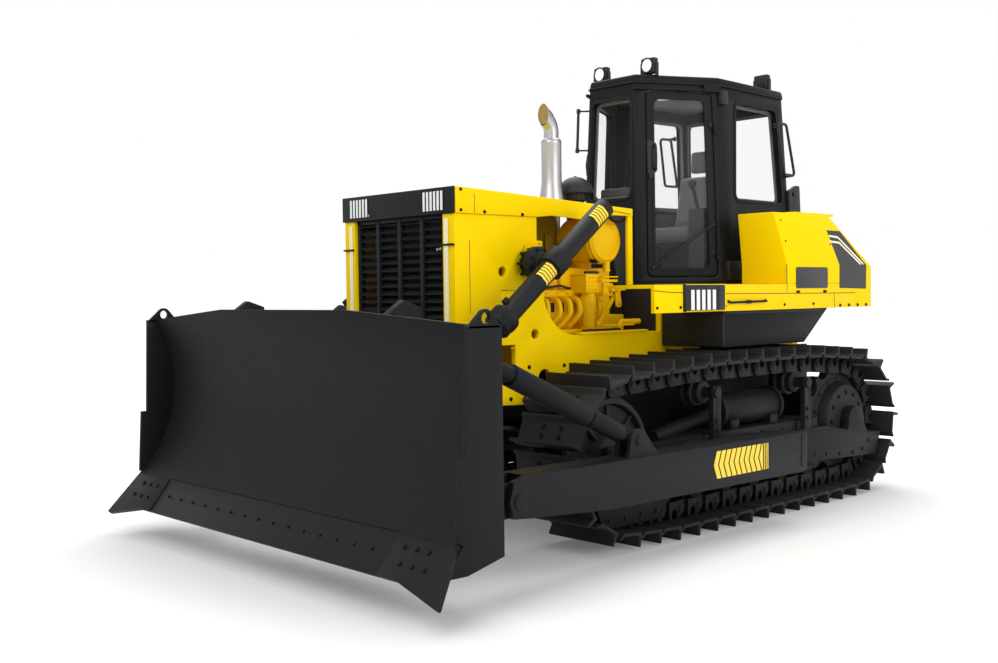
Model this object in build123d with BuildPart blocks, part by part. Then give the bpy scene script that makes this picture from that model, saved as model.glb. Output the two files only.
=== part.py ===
from build123d import *

import os
from math import atan2, cos, degrees, hypot, pi, radians, tan

# Crawler bulldozer with a straight blade, modelled at full size in millimetres.
# Frame: +X forward, +Y to the machine's left, +Z up.  The origin lies on the ground, under
# the middle of the bounding box.  Every X is measured from the sprocket axle and moved by
# SX; what stands at the front end is placed from the idler axle or from the blade's back.

# ---------------------------------------------------------------- driving dimensions
# running gear
GAUGE = 2000  # between the middles of the two tracks
WHEELBASE = 2860  # sprocket axle to idler axle
SPROCKET_Z, SPROCKET_R = 600, 440  # axle height, chain pitch radius
IDLER_Z, IDLER_R = 610, 430
PITCH_Z = 155  # pitch line of the chain on the ground run
SHOES = 41  # shoes in one track
SHOE_W, SHOE_T = 560, 22
GROUSER_H, GROUSER_T = 73, 24
GROUSER_AT = 0.38  # grouser's place on its shoe, in shoe pitches ahead of the middle
LINK_H = 120  # depth of a link rail
RAIL_IN, RAIL_OUT = 52, 100  # rail faces, from the middle of the track
ROLLER_R, ROLLER_Z = 103, 320
ROLLERS = 6
ROLLER_FIRST, ROLLER_LAST = 545, 530  # sprocket to first roller, last roller to idler
CARRIER_R, CARRIER_Z = 78, 952
CARRIER_FIRST, CARRIER_LAST = 700, 990  # sprocket to first carrier, last carrier to idler
FLANGE_H = 22  # roller flange above its tread
FLANGE_GAP = 7  # roller flange to link rail
SHAFT_R, CARRIER_SHAFT_R = 45, 35
HUB_R = 295  # sprocket hub
RUN = 1  # clearance between a wheel and what it rolls on
LAP = 1  # overlap that joins two shapes of one piece

# track frame
BEAM_W = 310
BEAM_OFF = 5  # beam's middle, inwards from the track's middle
BEAM_Z0, BEAM_Z1 = 460, 660
BEAM_REAR, BEAM_FRONT = 470, 520  # from the sprocket axle, from the idler axle
SADDLE_T, FORK_T = 25, 45
GUARD_T = 60  # outer side plate
POST_W, POST_T = 90, 40  # carrier roller posts
PIVOT_X = 730  # track frame pivot

# main frame, engine bay and hood
BODY_HALF = 585  # half width over the bodywork
PLATE_T = 40
BODY_REAR = -300
BELLY_Z, FRAME_TOP = 430, 1375
NOSE_Z = 1690  # top of the main frame under the radiator guard
GUARD_BACK, GUARD_FRONT = 160, 890  # radiator guard, ahead of the idler axle
SILL_Z, COLUMN_IN = 1450, 470  # grille opening: foot, half width
HOOD_Z, HOOD_DROP = 2349, 75  # top of the hood in front, fall to the rear
HOOD_REAR = 2040
HOOD_LIP = 170  # depth of the hood's front panel
SHEET = 12
ARC_R = 330  # hollow in the main frame's top edge beside the engine
ENGINE_TOP, ENGINE_HALF = 1850, 300
EXHAUST_X, EXHAUST_TOP, EXHAUST_R, TIP_R = 2264, 3085, 76, 56
PRECLEANER_X, PRECLEANER_Z, PRECLEANER_R = 2005, 2492, 128
AIR_CLEANER, AIR_CLEANER_R = (2216, 2046), 172

# deck and tanks
DECK_HALF = 1200
DECK_Z0, DECK_Z1 = 1525, 1715
DECK_REAR, DECK_FRONT = -30, 2540
TANK_FRONT, TANK_REAR, TANK_TOP = 960, -287, 2262
TANK_OFF = 200  # body side to tank
KNEE_Z = 1865  # where a tank's side starts to lean in

# cab
CAB_Z0, CAB_Z1 = 1735, 3300  # underside of the floor, underside of the roof
CAB_TAPER = 2.4  # lean of every wall, degrees
CAB_WALL = 55
CAB_NOSE = (1640, 275)  # plan corners at the foot: front, behind the door, rear
CAB_SIDE = (950, 630)
CAB_BACK = (-110, 575)
FLOOR_T, ROOF_T, GLASS_T = 40, 62, 6
SILL, HEAD = 660, 110  # wall below and above the windows
DOOR_FOOT, DOOR_HEAD = 45, 60  # wall left under and over the door
DOOR_FRONT, DOOR_SIDE = 110, 60  # wall left before and behind the door
DOOR_LEAN = 20  # how far the door's edges lean in
DOOR_T, DOOR_GAP, DOOR_RIM = 45, 7, 58
DOOR_SWING = 75  # degrees
HINGE_OUT, HINGE_R, HINGE_PIN_R = 14, 11, 6
HINGE_H = (170, 1180)  # feet of the two hinges, up the wall
KNUCKLE_H, LEAF_T, LEAF_W = 45, 8, 45
HINGE_FIT = 0.05
SEAT_X = 640
LAMP_R = 62
RAIL_R = 13  # grab rails

# blade and its arms; X values from BLADE_X, the back of the blade
BLADE_X = WHEELBASE + 1580
BLADE_TOP = 1588
BLADE_LOW = 1510  # top of the blade's ends
FACE_C = (905, 1046)  # axis of the hollow face
FACE_R = 860
FACE_FOOT = 420  # height where the curve ends and the cutting edge starts
EDGE_TIP = (475, 216)  # point of the cutting edge
PLATE_BLADE, EDGE_T = 30, 30
END_T = 25  # end plates and lifting ears
RIB_T, RIB_Y = 28, (0, 420, 1180)
ARM_GAP = 60  # track to arm
ARM_W = 220
ARM_TIP = 360  # front end of the arm's beam, behind the blade
ARM_Z0, ARM_Z1 = 385, 655
HEEL_PIN, HEEL_PIN_R = (-292, 530), 42  # pin that joins arm and blade
TRUNNION_X, TRUNNION_Z, TRUNNION_R = 1400, 510, 70
TRUNNION_FIT = 0.5
BLADE_OVER = 190  # blade beyond the arm
BIT_OVER = 75  # end bit beyond the blade
EAR_X, EAR_Z, EAR_R = 110, 1545, 30  # hole of the lifting ears
BRACE_FOOT = (WHEELBASE + 220, 760)  # eye on the arm, from the sprocket axle
BRACE_HEAD = (-78, 1330)  # eye on the blade
BRACE_EYE_R, BRACE_PIN_R, BRACE_HALF = 66, 30, 32
CHEEK_T, CHEEK_GAP = 28, 2  # cheeks beside a brace eye

# lift cylinders
LIFT_Y = 850
YOKE = (WHEELBASE + 260, 1865)  # barrel trunnion, from the sprocket axle
EYE = (-140, 950)  # rod eye, from the blade's back
BORE_R, BARREL_T, ROD_R = 52, 16, 32
ROD_FIT = 0.5
BARREL_UP, BARREL_DOWN = 618, 665  # barrel ends, from the trunnion
ROD_L = 1500
PIN_R, EYE_R, EYE_W = 30, 62, 62
LUG_T, LUG_GAP = 32, 6  # cheeks beside the rod eye and the gap to it
TRUNNION_W = 130  # collar on the barrel
COLLAR_T = 22

# drawbar
TOW_X, TOW_Z, TOW_R = -500, 590, 27

# ---------------------------------------------------------------- values that follow
HALF_GAUGE = GAUGE / 2
BEAM_IN = HALF_GAUGE - BEAM_OFF - BEAM_W / 2
BEAM_OUT = BEAM_IN + BEAM_W
ARM_IN = HALF_GAUGE + SHOE_W / 2 + ARM_GAP
ARM_OUT = ARM_IN + ARM_W
ARM_MID = (ARM_IN + ARM_OUT) / 2
BLADE_HALF = ARM_OUT + BLADE_OVER
BARREL_R = BORE_R + BARREL_T
LUG_IN = EYE_W / 2 + LUG_GAP
GUARD_X0, GUARD_X1 = WHEELBASE + GUARD_BACK, WHEELBASE + GUARD_FRONT
ROLLER_STEP = (WHEELBASE - ROLLER_FIRST - ROLLER_LAST) / (ROLLERS - 1)
ROLLER_X = [ROLLER_FIRST + i * ROLLER_STEP for i in range(ROLLERS)]
CARRIER_X = [CARRIER_FIRST, WHEELBASE - CARRIER_LAST]
CASE_HALF = BODY_HALF - PLATE_T
TANK_IN = BODY_HALF + TANK_OFF
FLOOR = CAB_Z0 + FLOOR_T
HOOD_SKIRT = HOOD_Z - HOOD_LIP
TRACK_REACH = 594  # rearmost grouser, behind the sprocket axle
BIT_REACH = 535.5  # point of an end bit, ahead of the blade's back
SX = (TRACK_REACH - BLADE_X - BIT_REACH) / 2  # sprocket axle, from the middle of the machine

parts = {}


def keep(name, piece):
    """Register a finished piece under its node name."""
    parts[name] = piece


def at_blade(point):
    """Side-view point given from the blade's back, as one from the sprocket axle."""
    return BLADE_X + point[0], point[1]


def block(x0, x1, y0, y1, z0, z1, mode=Mode.ADD):
    """Add a box between two corners."""
    with Locations((SX + (x0 + x1) / 2, (y0 + y1) / 2, (z0 + z1) / 2)):
        Box(abs(x1 - x0), abs(y1 - y0), abs(z1 - z0), mode=mode)


def outline(points, y0, y1, mode=Mode.ADD):
    """Extrude a closed side outline (X, Z) from y0 to y1."""
    with BuildSketch(Plane.XZ.offset(-y0)) as side:
        with BuildLine():
            Polyline(*[(SX + x, z) for x, z in points], close=True)
        make_face()
    extrude(side.sketch, amount=y0 - y1, mode=mode)


def rod_y(x, z, radius, y0, y1, mode=Mode.ADD):
    """Add a round bar along Y."""
    with Locations(Location((SX + x, (y0 + y1) / 2, z), (90, 0, 0))):
        Cylinder(radius, abs(y1 - y0), mode=mode)


def tube_to(start, end, radius, mode=Mode.ADD):
    """Add a round bar between two points given as (x, y, z)."""
    a = Vector(SX + start[0], start[1], start[2])
    b = Vector(SX + end[0], end[1], end[2])
    with BuildSketch(Plane(origin=a, z_dir=b - a)) as disc:
        Circle(radius)
    extrude(disc.sketch, amount=(b - a).length, mode=mode)


def mirrored():
    """Add the mirror image, about the machine's middle, of the part being built."""
    mirror(about=Plane.XZ)


# ---------------------------------------------------------------- running gear
# The chain's pitch line is the belt around the sprocket, the idler, the carrier rollers
# and the track rollers.
belt = [
    (0, SPROCKET_Z, SPROCKET_R),
    (WHEELBASE, IDLER_Z, IDLER_R),
    *[(x, CARRIER_Z, CARRIER_R + LINK_H / 2 + RUN) for x in CARRIER_X],
    *[(x, ROLLER_Z, ROLLER_Z - PITCH_Z) for x in (ROLLER_X[0], ROLLER_X[-1])],
]
with BuildSketch(Plane.XZ) as pitch_line:
    for x, z, radius in belt:
        with Locations((SX + x, z)):
            Circle(radius)
    make_hull()
pitch_wire = pitch_line.sketch.faces()[0].outer_wire()
shoe_pitch = pitch_wire.length / SHOES

with BuildSketch(Plane.XZ) as rail_ring:
    add(offset(pitch_line.sketch, amount=LINK_H / 2, mode=Mode.PRIVATE))
    add(offset(pitch_line.sketch, amount=-LINK_H / 2, mode=Mode.PRIVATE), mode=Mode.SUBTRACT)

SHOE_LAP = 1.02  # length of a shoe plate, in shoe pitches
with BuildSketch(Plane.XZ) as shoe_ring:
    middle = Vector(SX + WHEELBASE / 2, 0, SPROCKET_Z)
    for i in range(SHOES):
        at = pitch_wire.position_at(i / SHOES)
        along = pitch_wire.tangent_at(i / SHOES)
        side = -1 if Vector(along.Z, 0, -along.X).dot(at - middle) > 0 else 1
        with Locations(Location((at.X, at.Z), degrees(atan2(along.Z, along.X)))):
            with Locations((0, side * (LINK_H / 2 + SHOE_T / 2))):
                Rectangle(shoe_pitch * SHOE_LAP, SHOE_T + 2 * LAP)
            with Locations((shoe_pitch * GROUSER_AT, side * (LINK_H / 2 + SHOE_T + GROUSER_H / 2))):
                Rectangle(GROUSER_T, GROUSER_H)

with BuildPart() as track_left:
    for rail_side in (1, -1):
        start = HALF_GAUGE + rail_side * RAIL_IN
        end = HALF_GAUGE + rail_side * RAIL_OUT
        extrude(rail_ring.sketch.moved(Location((0, start, 0))), amount=start - end)
    extrude(shoe_ring.sketch.moved(Location((0, HALF_GAUGE - SHOE_W / 2, 0))), amount=-SHOE_W)
keep("track_left", track_left.part)

with BuildPart() as track_right:
    mirror(track_left.part, about=Plane.XZ)
keep("track_right", track_right.part)

# The teeth reach into the gap between the link rails.
TOOTH_W = 2 * (RAIL_IN - FLANGE_GAP)
TOOTH_TIP = SPROCKET_R + 22
TOOTH_ROOT = SPROCKET_R - LINK_H / 2 - 6
TOOTH_FOOT_W, TOOTH_FLANK = 84, 72  # width at the root, flank angle in degrees
RIM_GAP = 4  # between the sprocket's rim and the links
HUB_IN, HUB_OUT = HALF_GAUGE - 90, BEAM_OUT - 5
with BuildPart() as sprockets:
    rod_y(0, SPROCKET_Z, SPROCKET_R - LINK_H / 2 - RIM_GAP, HALF_GAUGE - TOOTH_W / 2, HALF_GAUGE + TOOTH_W / 2)
    teeth = round(2 * pi * SPROCKET_R / shoe_pitch)
    with BuildSketch(Plane.XZ.offset(-(HALF_GAUGE + TOOTH_W / 2))) as tooth_ring:
        with Locations((SX, SPROCKET_Z)):
            with PolarLocations((TOOTH_TIP + TOOTH_ROOT) / 2, teeth):
                Trapezoid(TOOTH_FOOT_W, TOOTH_TIP - TOOTH_ROOT, TOOTH_FLANK, rotation=-90)
    extrude(tooth_ring.sketch, amount=TOOTH_W)
    rod_y(0, SPROCKET_Z, HUB_R, HUB_IN, HUB_OUT)
    rod_y(0, SPROCKET_Z, 90, HUB_OUT, BEAM_OUT + 15)
    mirrored()
keep("sprockets", sprockets.part)

TREAD_HALF = RAIL_OUT + 5  # half width of a roller
with BuildPart() as idlers:
    rod_y(WHEELBASE, IDLER_Z, IDLER_R - LINK_H / 2 - RUN, HALF_GAUGE - RAIL_OUT + 5, HALF_GAUGE + RAIL_OUT - 5)
    rod_y(WHEELBASE, IDLER_Z, IDLER_R - LINK_H / 2 + FLANGE_H, HALF_GAUGE - RAIL_IN + FLANGE_GAP,
          HALF_GAUGE + RAIL_IN - FLANGE_GAP)
    rod_y(WHEELBASE, IDLER_Z, SHAFT_R, BEAM_IN, BEAM_OUT)
    mirrored()
keep("idlers", idlers.part)

with BuildPart() as track_rollers:
    for x in ROLLER_X:
        rod_y(x, ROLLER_Z, ROLLER_R + RUN, HALF_GAUGE - TREAD_HALF, HALF_GAUGE + TREAD_HALF)
        rod_y(x, ROLLER_Z, ROLLER_R + FLANGE_H, HALF_GAUGE - RAIL_IN + FLANGE_GAP, HALF_GAUGE + RAIL_IN - FLANGE_GAP)
        rod_y(x, ROLLER_Z, SHAFT_R, BEAM_IN + 30, BEAM_OUT - 5)
    mirrored()
keep("track_rollers", track_rollers.part)

with BuildPart() as carrier_rollers:
    for x in CARRIER_X:
        rod_y(x, CARRIER_Z, CARRIER_R, HALF_GAUGE - TREAD_HALF, HALF_GAUGE + TREAD_HALF)
        rod_y(x, CARRIER_Z, CARRIER_R + FLANGE_H, HALF_GAUGE - RAIL_IN + FLANGE_GAP,
              HALF_GAUGE + RAIL_IN - FLANGE_GAP)
        rod_y(x, CARRIER_Z, CARRIER_SHAFT_R, HALF_GAUGE, BEAM_OUT + POST_T + 20)
    mirrored()
keep("carrier_rollers", carrier_rollers.part)

# Track frame: a beam with saddles for the roller shafts, a fork for the idler, posts for
# the carrier rollers, and an outer plate that runs back past the sprocket.
beam_x1 = WHEELBASE - BEAM_FRONT
GUARD_Y = BEAM_OUT + 15  # inner face of the outer plate
with BuildPart() as track_frames:
    block(BEAM_REAR, beam_x1, BEAM_IN, BEAM_OUT, BEAM_Z0, BEAM_Z1)
    for y in (BEAM_IN, BEAM_OUT - SADDLE_T):
        block(ROLLER_X[0] - 70, ROLLER_X[-1] + 70, y, y + SADDLE_T, ROLLER_Z - 55, BEAM_Z0 + LAP)
    for y in (BEAM_IN, BEAM_OUT - FORK_T):
        block(beam_x1 - LAP, WHEELBASE + 110, y, y + FORK_T, IDLER_Z - 75, BEAM_Z1)
    outline(
        [(-385, 480), (-300, 300), (BEAM_REAR + 400, 345), (BEAM_REAR + 430, 595), (BEAM_REAR, 595), (-60, 500)],
        GUARD_Y, GUARD_Y + GUARD_T,
    )
    block(BEAM_REAR, BEAM_REAR + 380, BEAM_OUT, GUARD_Y, BEAM_Z0 + 10, 590)
    rod_y(0, SPROCKET_Z, 120, GUARD_Y, GUARD_Y + GUARD_T)
    outline([(-180, 480), (180, 480), (100, SPROCKET_Z), (-100, SPROCKET_Z)], GUARD_Y, GUARD_Y + GUARD_T)
    for x in CARRIER_X:
        block(x - POST_W / 2, x + POST_W / 2, BEAM_OUT + 20, BEAM_OUT + 20 + POST_T, BEAM_Z1 - 100, CARRIER_Z + 45)
        block(x - POST_W, x + POST_W, BEAM_OUT, BEAM_OUT + 20 + LAP, BEAM_Z1 - 100, BEAM_Z1)
    rod_y(TRUNNION_X, TRUNNION_Z, TRUNNION_R + 45, BEAM_OUT, ARM_IN - 25)
    rod_y(TRUNNION_X, TRUNNION_Z, TRUNNION_R, ARM_IN - 25 - LAP, ARM_IN + 75)
    with BuildSketch(Plane.XZ.offset(20 - BEAM_OUT)) as guide_face:
        with Locations((SX + WHEELBASE - 150, 285)):
            SlotOverall(700, 290)
    extrude(guide_face.sketch, amount=-20)
    rod_y(PIVOT_X, BEAM_Z1 - 80, 75, BODY_HALF, BEAM_IN)
    for x, z in [(WHEELBASE, IDLER_Z)] + [(x, ROLLER_Z) for x in ROLLER_X]:
        rod_y(x, z, SHAFT_R, BEAM_IN - 5, BEAM_OUT, mode=Mode.SUBTRACT)
    for x in CARRIER_X:
        rod_y(x, CARRIER_Z, CARRIER_SHAFT_R, BEAM_OUT, BEAM_OUT + 20 + POST_T, mode=Mode.SUBTRACT)
    mirrored()
keep("track_frames", track_frames.part)

# Final drives and the equaliser bar carry the body between the track frames.
DRIVE_FLANGE = BODY_HALF + 115
with BuildPart() as final_drives:
    rod_y(0, SPROCKET_Z, 250, BODY_HALF, DRIVE_FLANGE)
    rod_y(0, SPROCKET_Z, HUB_R + 5, DRIVE_FLANGE, HUB_IN)
    mirrored()
keep("final_drives", final_drives.part)

EQUALIZER_X, EQUALIZER_TOP = WHEELBASE - 660, 600
with BuildPart() as equalizer_bar:
    block(EQUALIZER_X - 70, EQUALIZER_X + 70, -BEAM_IN, BEAM_IN, EQUALIZER_TOP - 120, EQUALIZER_TOP)
keep("equalizer_bar", equalizer_bar.part)


# ---------------------------------------------------------------- body
def hood_z(x, drop=0):
    """Height of the hood's top surface at X, less a drop."""
    return HOOD_Z - HOOD_DROP * (GUARD_X1 - x) / (GUARD_X1 - HOOD_REAR) - drop


# Side plates, a belly that rises to the front, and a post for the hood.
arc_x = WHEELBASE + 100  # front end of the hollow beside the engine
nose_x = WHEELBASE + 490  # front edge of the side plates under the radiator guard
foot_x = WHEELBASE + 560  # front end of the belly
knee_x = WHEELBASE - 260  # where the belly stops rising
BELLY_T = 20
BELLY_NOSE = 900  # height where the belly stops rising
POST_IN = 50  # depth of the posts under the hood's rear end
STEP_X = 1800  # rear deck's front edge
TRUNK_Z = 1200  # top of the side plates behind the step
saddle_top = BELLY_Z + (BELLY_NOSE - BELLY_Z) * (EQUALIZER_X - STEP_X) / (knee_x - STEP_X) + BELLY_T / 2
with BuildPart() as main_frame:
    for y in (-BODY_HALF, CASE_HALF):
        with BuildSketch(Plane.XZ.offset(-y)) as plate_face:
            with BuildLine():
                foot = (SX + arc_x - ARC_R, FRAME_TOP)
                head = (SX + arc_x, NOSE_Z)
                bend = (SX + arc_x - ARC_R * 0.26, FRAME_TOP + (NOSE_Z - FRAME_TOP) * 0.33)
                Polyline(
                    head, (SX + nose_x, NOSE_Z), (SX + nose_x, 1330), (SX + nose_x - 125, 1330),
                    (SX + nose_x - 125, 1190), (SX + foot_x, 1010), (SX + foot_x, 940), (SX + knee_x, BELLY_NOSE),
                    (SX + STEP_X, BELLY_Z), (SX + BODY_REAR, BELLY_Z), (SX + BODY_REAR, TRUNK_Z),
                    (SX + STEP_X, TRUNK_Z), (SX + STEP_X, DECK_Z0), (SX + STEP_X + 70, DECK_Z0),
                    (SX + STEP_X + 70, FRAME_TOP), foot,
                )
                ThreePointArc(foot, bend, head)
            make_face()
        extrude(plate_face.sketch, amount=-PLATE_T)
    block(BODY_REAR, STEP_X, -CASE_HALF, CASE_HALF, BELLY_Z, BELLY_Z + BELLY_T)
    outline([(STEP_X, BELLY_Z), (knee_x, BELLY_NOSE), (foot_x, 940), (foot_x, 940 + BELLY_T),
             (knee_x, BELLY_NOSE + BELLY_T), (STEP_X - 10, BELLY_Z + BELLY_T)], -CASE_HALF, CASE_HALF)
    block(foot_x - PLATE_T, foot_x, -CASE_HALF, CASE_HALF, 940, 1010)
    block(EQUALIZER_X - 50, EQUALIZER_X + 50, -80, 80, EQUALIZER_TOP, saddle_top)  # on the equaliser bar
    block(nose_x - PLATE_T, nose_x, -CASE_HALF, CASE_HALF, 1340, NOSE_Z - 200)
    for y in (BODY_HALF - POST_IN, -BODY_HALF):
        block(HOOD_REAR - 15, HOOD_REAR + 65, y, y + POST_IN, FRAME_TOP - 60, hood_z(HOOD_REAR, SHEET + 1))
    with Locations(*[Location((SX + WHEELBASE + 180, y, 1500), (90, 0, 0)) for y in (BODY_HALF, -BODY_HALF)]):
        Cylinder(34, 200, mode=Mode.SUBTRACT)
keep("main_frame", main_frame.part)

CASE_TOP = 1150  # top of the transmission case, foot of the engine
with BuildPart() as transmission_case:
    block(BODY_REAR + 10, STEP_X - 50, -CASE_HALF, CASE_HALF, BELLY_Z + BELLY_T, CASE_TOP)
    block(-40, STEP_X - 150, -430, 430, CASE_TOP, DECK_Z0 - 25)
keep("transmission_case", transmission_case.part)

with BuildPart() as engine_block:
    block(1960, 2980, -ENGINE_HALF, ENGINE_HALF, CASE_TOP, ENGINE_TOP)
    block(2050, 2900, -200, 200, 960, CASE_TOP)
    block(1990, 2940, -CASE_HALF, CASE_HALF, CASE_TOP, CASE_TOP + 80)
    block(STEP_X - 50, 1960, -260, 260, 1000, 1500)
keep("engine_block", engine_block.part)

# Radiator guard: sides, front columns and a sill, open in front and to the rear.
COLUMN_T = 70
with BuildPart() as radiator_guard:
    block(GUARD_X0, GUARD_X1, -BODY_HALF, BODY_HALF, NOSE_Z, HOOD_SKIRT)
    block(nose_x, GUARD_X1, -BODY_HALF, BODY_HALF, 1340, NOSE_Z)
    block(GUARD_X0, GUARD_X1 - COLUMN_T, -CASE_HALF, CASE_HALF, 1400, HOOD_Z, mode=Mode.SUBTRACT)
    block(GUARD_X1 - COLUMN_T, GUARD_X1, -COLUMN_IN, COLUMN_IN, SILL_Z, HOOD_Z, mode=Mode.SUBTRACT)
    for y in (-BODY_HALF, BODY_HALF):
        rod_y(nose_x - 10, 1813, 34, y - 60, y + 60, mode=Mode.SUBTRACT)
keep("radiator_guard", radiator_guard.part)

GRILLE_T = 45
LOUVRE_ROWS, LOUVRE_COLS = 14, 4
BAR_W, SLOT_SHARE = 36, 0.55  # upright between slots, height of a slot in its row
grille_h = HOOD_SKIRT - SILL_Z
with BuildPart() as grille:
    block(GUARD_X1 - COLUMN_T, GUARD_X1 - COLUMN_T + GRILLE_T, -COLUMN_IN, COLUMN_IN, SILL_Z, HOOD_SKIRT)
    col_w, row_h = 2 * COLUMN_IN / LOUVRE_COLS, grille_h / LOUVRE_ROWS
    with BuildSketch(Plane.YZ.offset(SX + GUARD_X1)) as louvres:
        with Locations((0, SILL_Z + grille_h / 2)):
            with GridLocations(col_w, row_h, LOUVRE_COLS, LOUVRE_ROWS):
                Rectangle(col_w - BAR_W, row_h * SLOT_SHARE)
    extrude(louvres.sketch, amount=-2 * COLUMN_T, mode=Mode.SUBTRACT)
keep("grille", grille.part)

CORE_X = nose_x + 70
with BuildPart() as radiator_core:
    block(CORE_X, CORE_X + 140, -COLUMN_IN, COLUMN_IN, 1400, 2120)
    block(CORE_X - 20, CORE_X + 160, -CASE_HALF, CASE_HALF, 2120, HOOD_SKIRT - 9)
keep("radiator_core", radiator_core.part)

# Hood: a folded sheet with a deep skirt over the radiator guard; the exhaust and the air
# intake pass through it.
PIPE_R, INTAKE_R, PIPE_GAP = 60, 70, 4
HOOD_OPEN = 12  # extra width of the hole around the exhaust
with BuildPart() as hood:
    outline([(GUARD_X1, HOOD_Z), (HOOD_REAR, hood_z(HOOD_REAR)), (HOOD_REAR, 2221), (HOOD_REAR + 220, 2220),
             (HOOD_REAR + 560, 2178), (GUARD_X0 - 135, 2193), (GUARD_X0, HOOD_SKIRT), (GUARD_X1, HOOD_SKIRT)],
            -BODY_HALF - SHEET, BODY_HALF + SHEET)
    outline([(GUARD_X1 + 10, HOOD_Z - SHEET), (HOOD_REAR - 10, hood_z(HOOD_REAR - 10, SHEET)),
             (HOOD_REAR - 10, 1900), (GUARD_X1 + 10, 1900)], -BODY_HALF, BODY_HALF, mode=Mode.SUBTRACT)
    for x, radius in ((EXHAUST_X, PIPE_R + HOOD_OPEN), (PRECLEANER_X, INTAKE_R + PIPE_GAP)):
        with Locations((SX + x, 0, HOOD_Z)):
            Cylinder(radius, 300, mode=Mode.SUBTRACT)
keep("hood", hood.part)

LIP_T = 14
with BuildPart() as hood_front_panel:
    block(GUARD_X1, GUARD_X1 + LIP_T, -BODY_HALF - SHEET, BODY_HALF + SHEET, HOOD_SKIRT, HOOD_Z)
    block(GUARD_X1 - 40, GUARD_X1 + LAP, 5 - BODY_HALF, BODY_HALF - 5, HOOD_SKIRT, HOOD_Z - SHEET - 4)
keep("hood_front_panel", hood_front_panel.part)

# Exhaust: a pipe from the engine, a flared foot on the hood, and a tip cut on the slant.
FLARE_R, FLARE_H, BODY_TOP, TIP_Z = 105, 170, 2850, 2955
TIP_REACH = 95
with BuildPart() as exhaust_stack:
    base = hood_z(EXHAUST_X + FLARE_R) + 3
    tip = (EXHAUST_X + TIP_REACH, 0, EXHAUST_TOP - 35)
    tube_to((EXHAUST_X, 0, ENGINE_TOP), (EXHAUST_X, 0, base + 10), PIPE_R)
    with BuildSketch(Plane(origin=(SX + EXHAUST_X, 0, base))) as foot_disc:
        Circle(FLARE_R)
    with BuildSketch(Plane(origin=(SX + EXHAUST_X, 0, base + FLARE_H))) as neck_disc:
        Circle(EXHAUST_R)
    loft([foot_disc.sketch, neck_disc.sketch])
    tube_to((EXHAUST_X, 0, base + FLARE_H), (EXHAUST_X, 0, BODY_TOP), EXHAUST_R)
    tube_to((EXHAUST_X, 0, BODY_TOP), (EXHAUST_X, 0, TIP_Z), TIP_R)
    with Locations((SX + EXHAUST_X, 0, TIP_Z)):
        Sphere(TIP_R)
    tube_to((EXHAUST_X, 0, TIP_Z), tip, TIP_R)
    split(bisect_by=Plane(origin=(SX + EXHAUST_X + TIP_REACH / 2, 0, EXHAUST_TOP - 60), z_dir=(-1, 0, -0.2)))
    tube_to((EXHAUST_X, 0, TIP_Z), tip, TIP_R - 6, mode=Mode.SUBTRACT)
keep("exhaust_stack", exhaust_stack.part)

with BuildPart() as precleaner:
    tube_to((PRECLEANER_X, 0, AIR_CLEANER[1]), (PRECLEANER_X, 0, PRECLEANER_Z), INTAKE_R)
    tube_to((PRECLEANER_X, 0, AIR_CLEANER[1]), (PRECLEANER_X + 85, 133, AIR_CLEANER[1]), 50)
    with Locations((SX + PRECLEANER_X, 0, PRECLEANER_Z)):
        Cylinder(PRECLEANER_R, 124)
    fillet(precleaner.edges().group_by(Axis.Z)[-1], radius=88)
keep("precleaner", precleaner.part)

with BuildPart() as air_cleaner:
    rod_y(*AIR_CLEANER, AIR_CLEANER_R, 160, 520)  # canister across the engine
    tube_to((AIR_CLEANER[0] - 28, 470, 1900), (AIR_CLEANER[0] - 28, 470, 1820), 24)
    block(AIR_CLEANER[0] - 60, AIR_CLEANER[0] + 60, 180, ENGINE_HALF - LAP, ENGINE_TOP, 1900)
keep("air_cleaner", air_cleaner.part)

FILTER_X, FILTER_TOP = 2345, 1665
with BuildPart() as oil_filter:
    with Locations((SX + FILTER_X, ENGINE_HALF + 130, (FRAME_TOP + FILTER_TOP) / 2)):
        Cylinder(57, FILTER_TOP - FRAME_TOP)
    block(FILTER_X - 60, FILTER_X + 80, ENGINE_HALF, ENGINE_HALF + 190, FILTER_TOP, FILTER_TOP + 140)
    block(FILTER_X - 70, FILTER_X + 70, ENGINE_HALF + 70, CASE_HALF, FRAME_TOP - 30, FRAME_TOP)
keep("oil_filter", oil_filter.part)

COWL_HALF, COWL_TOP = 230, 2290
with BuildPart() as dash_cowl:
    cowl_x = CAB_NOSE[0] + 6
    outline([(cowl_x, CAB_Z0), (1790, CAB_Z0), (1870, 2060), (1870, COWL_TOP), (cowl_x, COWL_TOP)],
            -COWL_HALF, COWL_HALF)
    block(STEP_X - 150, 1790, -COWL_HALF, COWL_HALF, 1500, CAB_Z0)
keep("dash_cowl", dash_cowl.part)

# ---------------------------------------------------------------- deck and tanks
with BuildPart() as fenders:
    block(DECK_REAR, DECK_FRONT, TANK_IN, DECK_HALF, DECK_Z0, DECK_Z1)
    block(STEP_X + 100, DECK_FRONT + 10, BODY_HALF, DECK_HALF - 30, DECK_Z0 - 60, DECK_Z1 - 25, mode=Mode.SUBTRACT)
    block(1780, 2230, DECK_HALF - 50, DECK_HALF + 25, DECK_Z0 + 5, DECK_Z1 + 2)  # lamp box
    block(DECK_REAR, CAB_NOSE[0], BODY_HALF - LAP, TANK_IN + LAP, DECK_Z0, CAB_Z0 - 60)
    mirrored()
keep("fenders", fenders.part)

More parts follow.
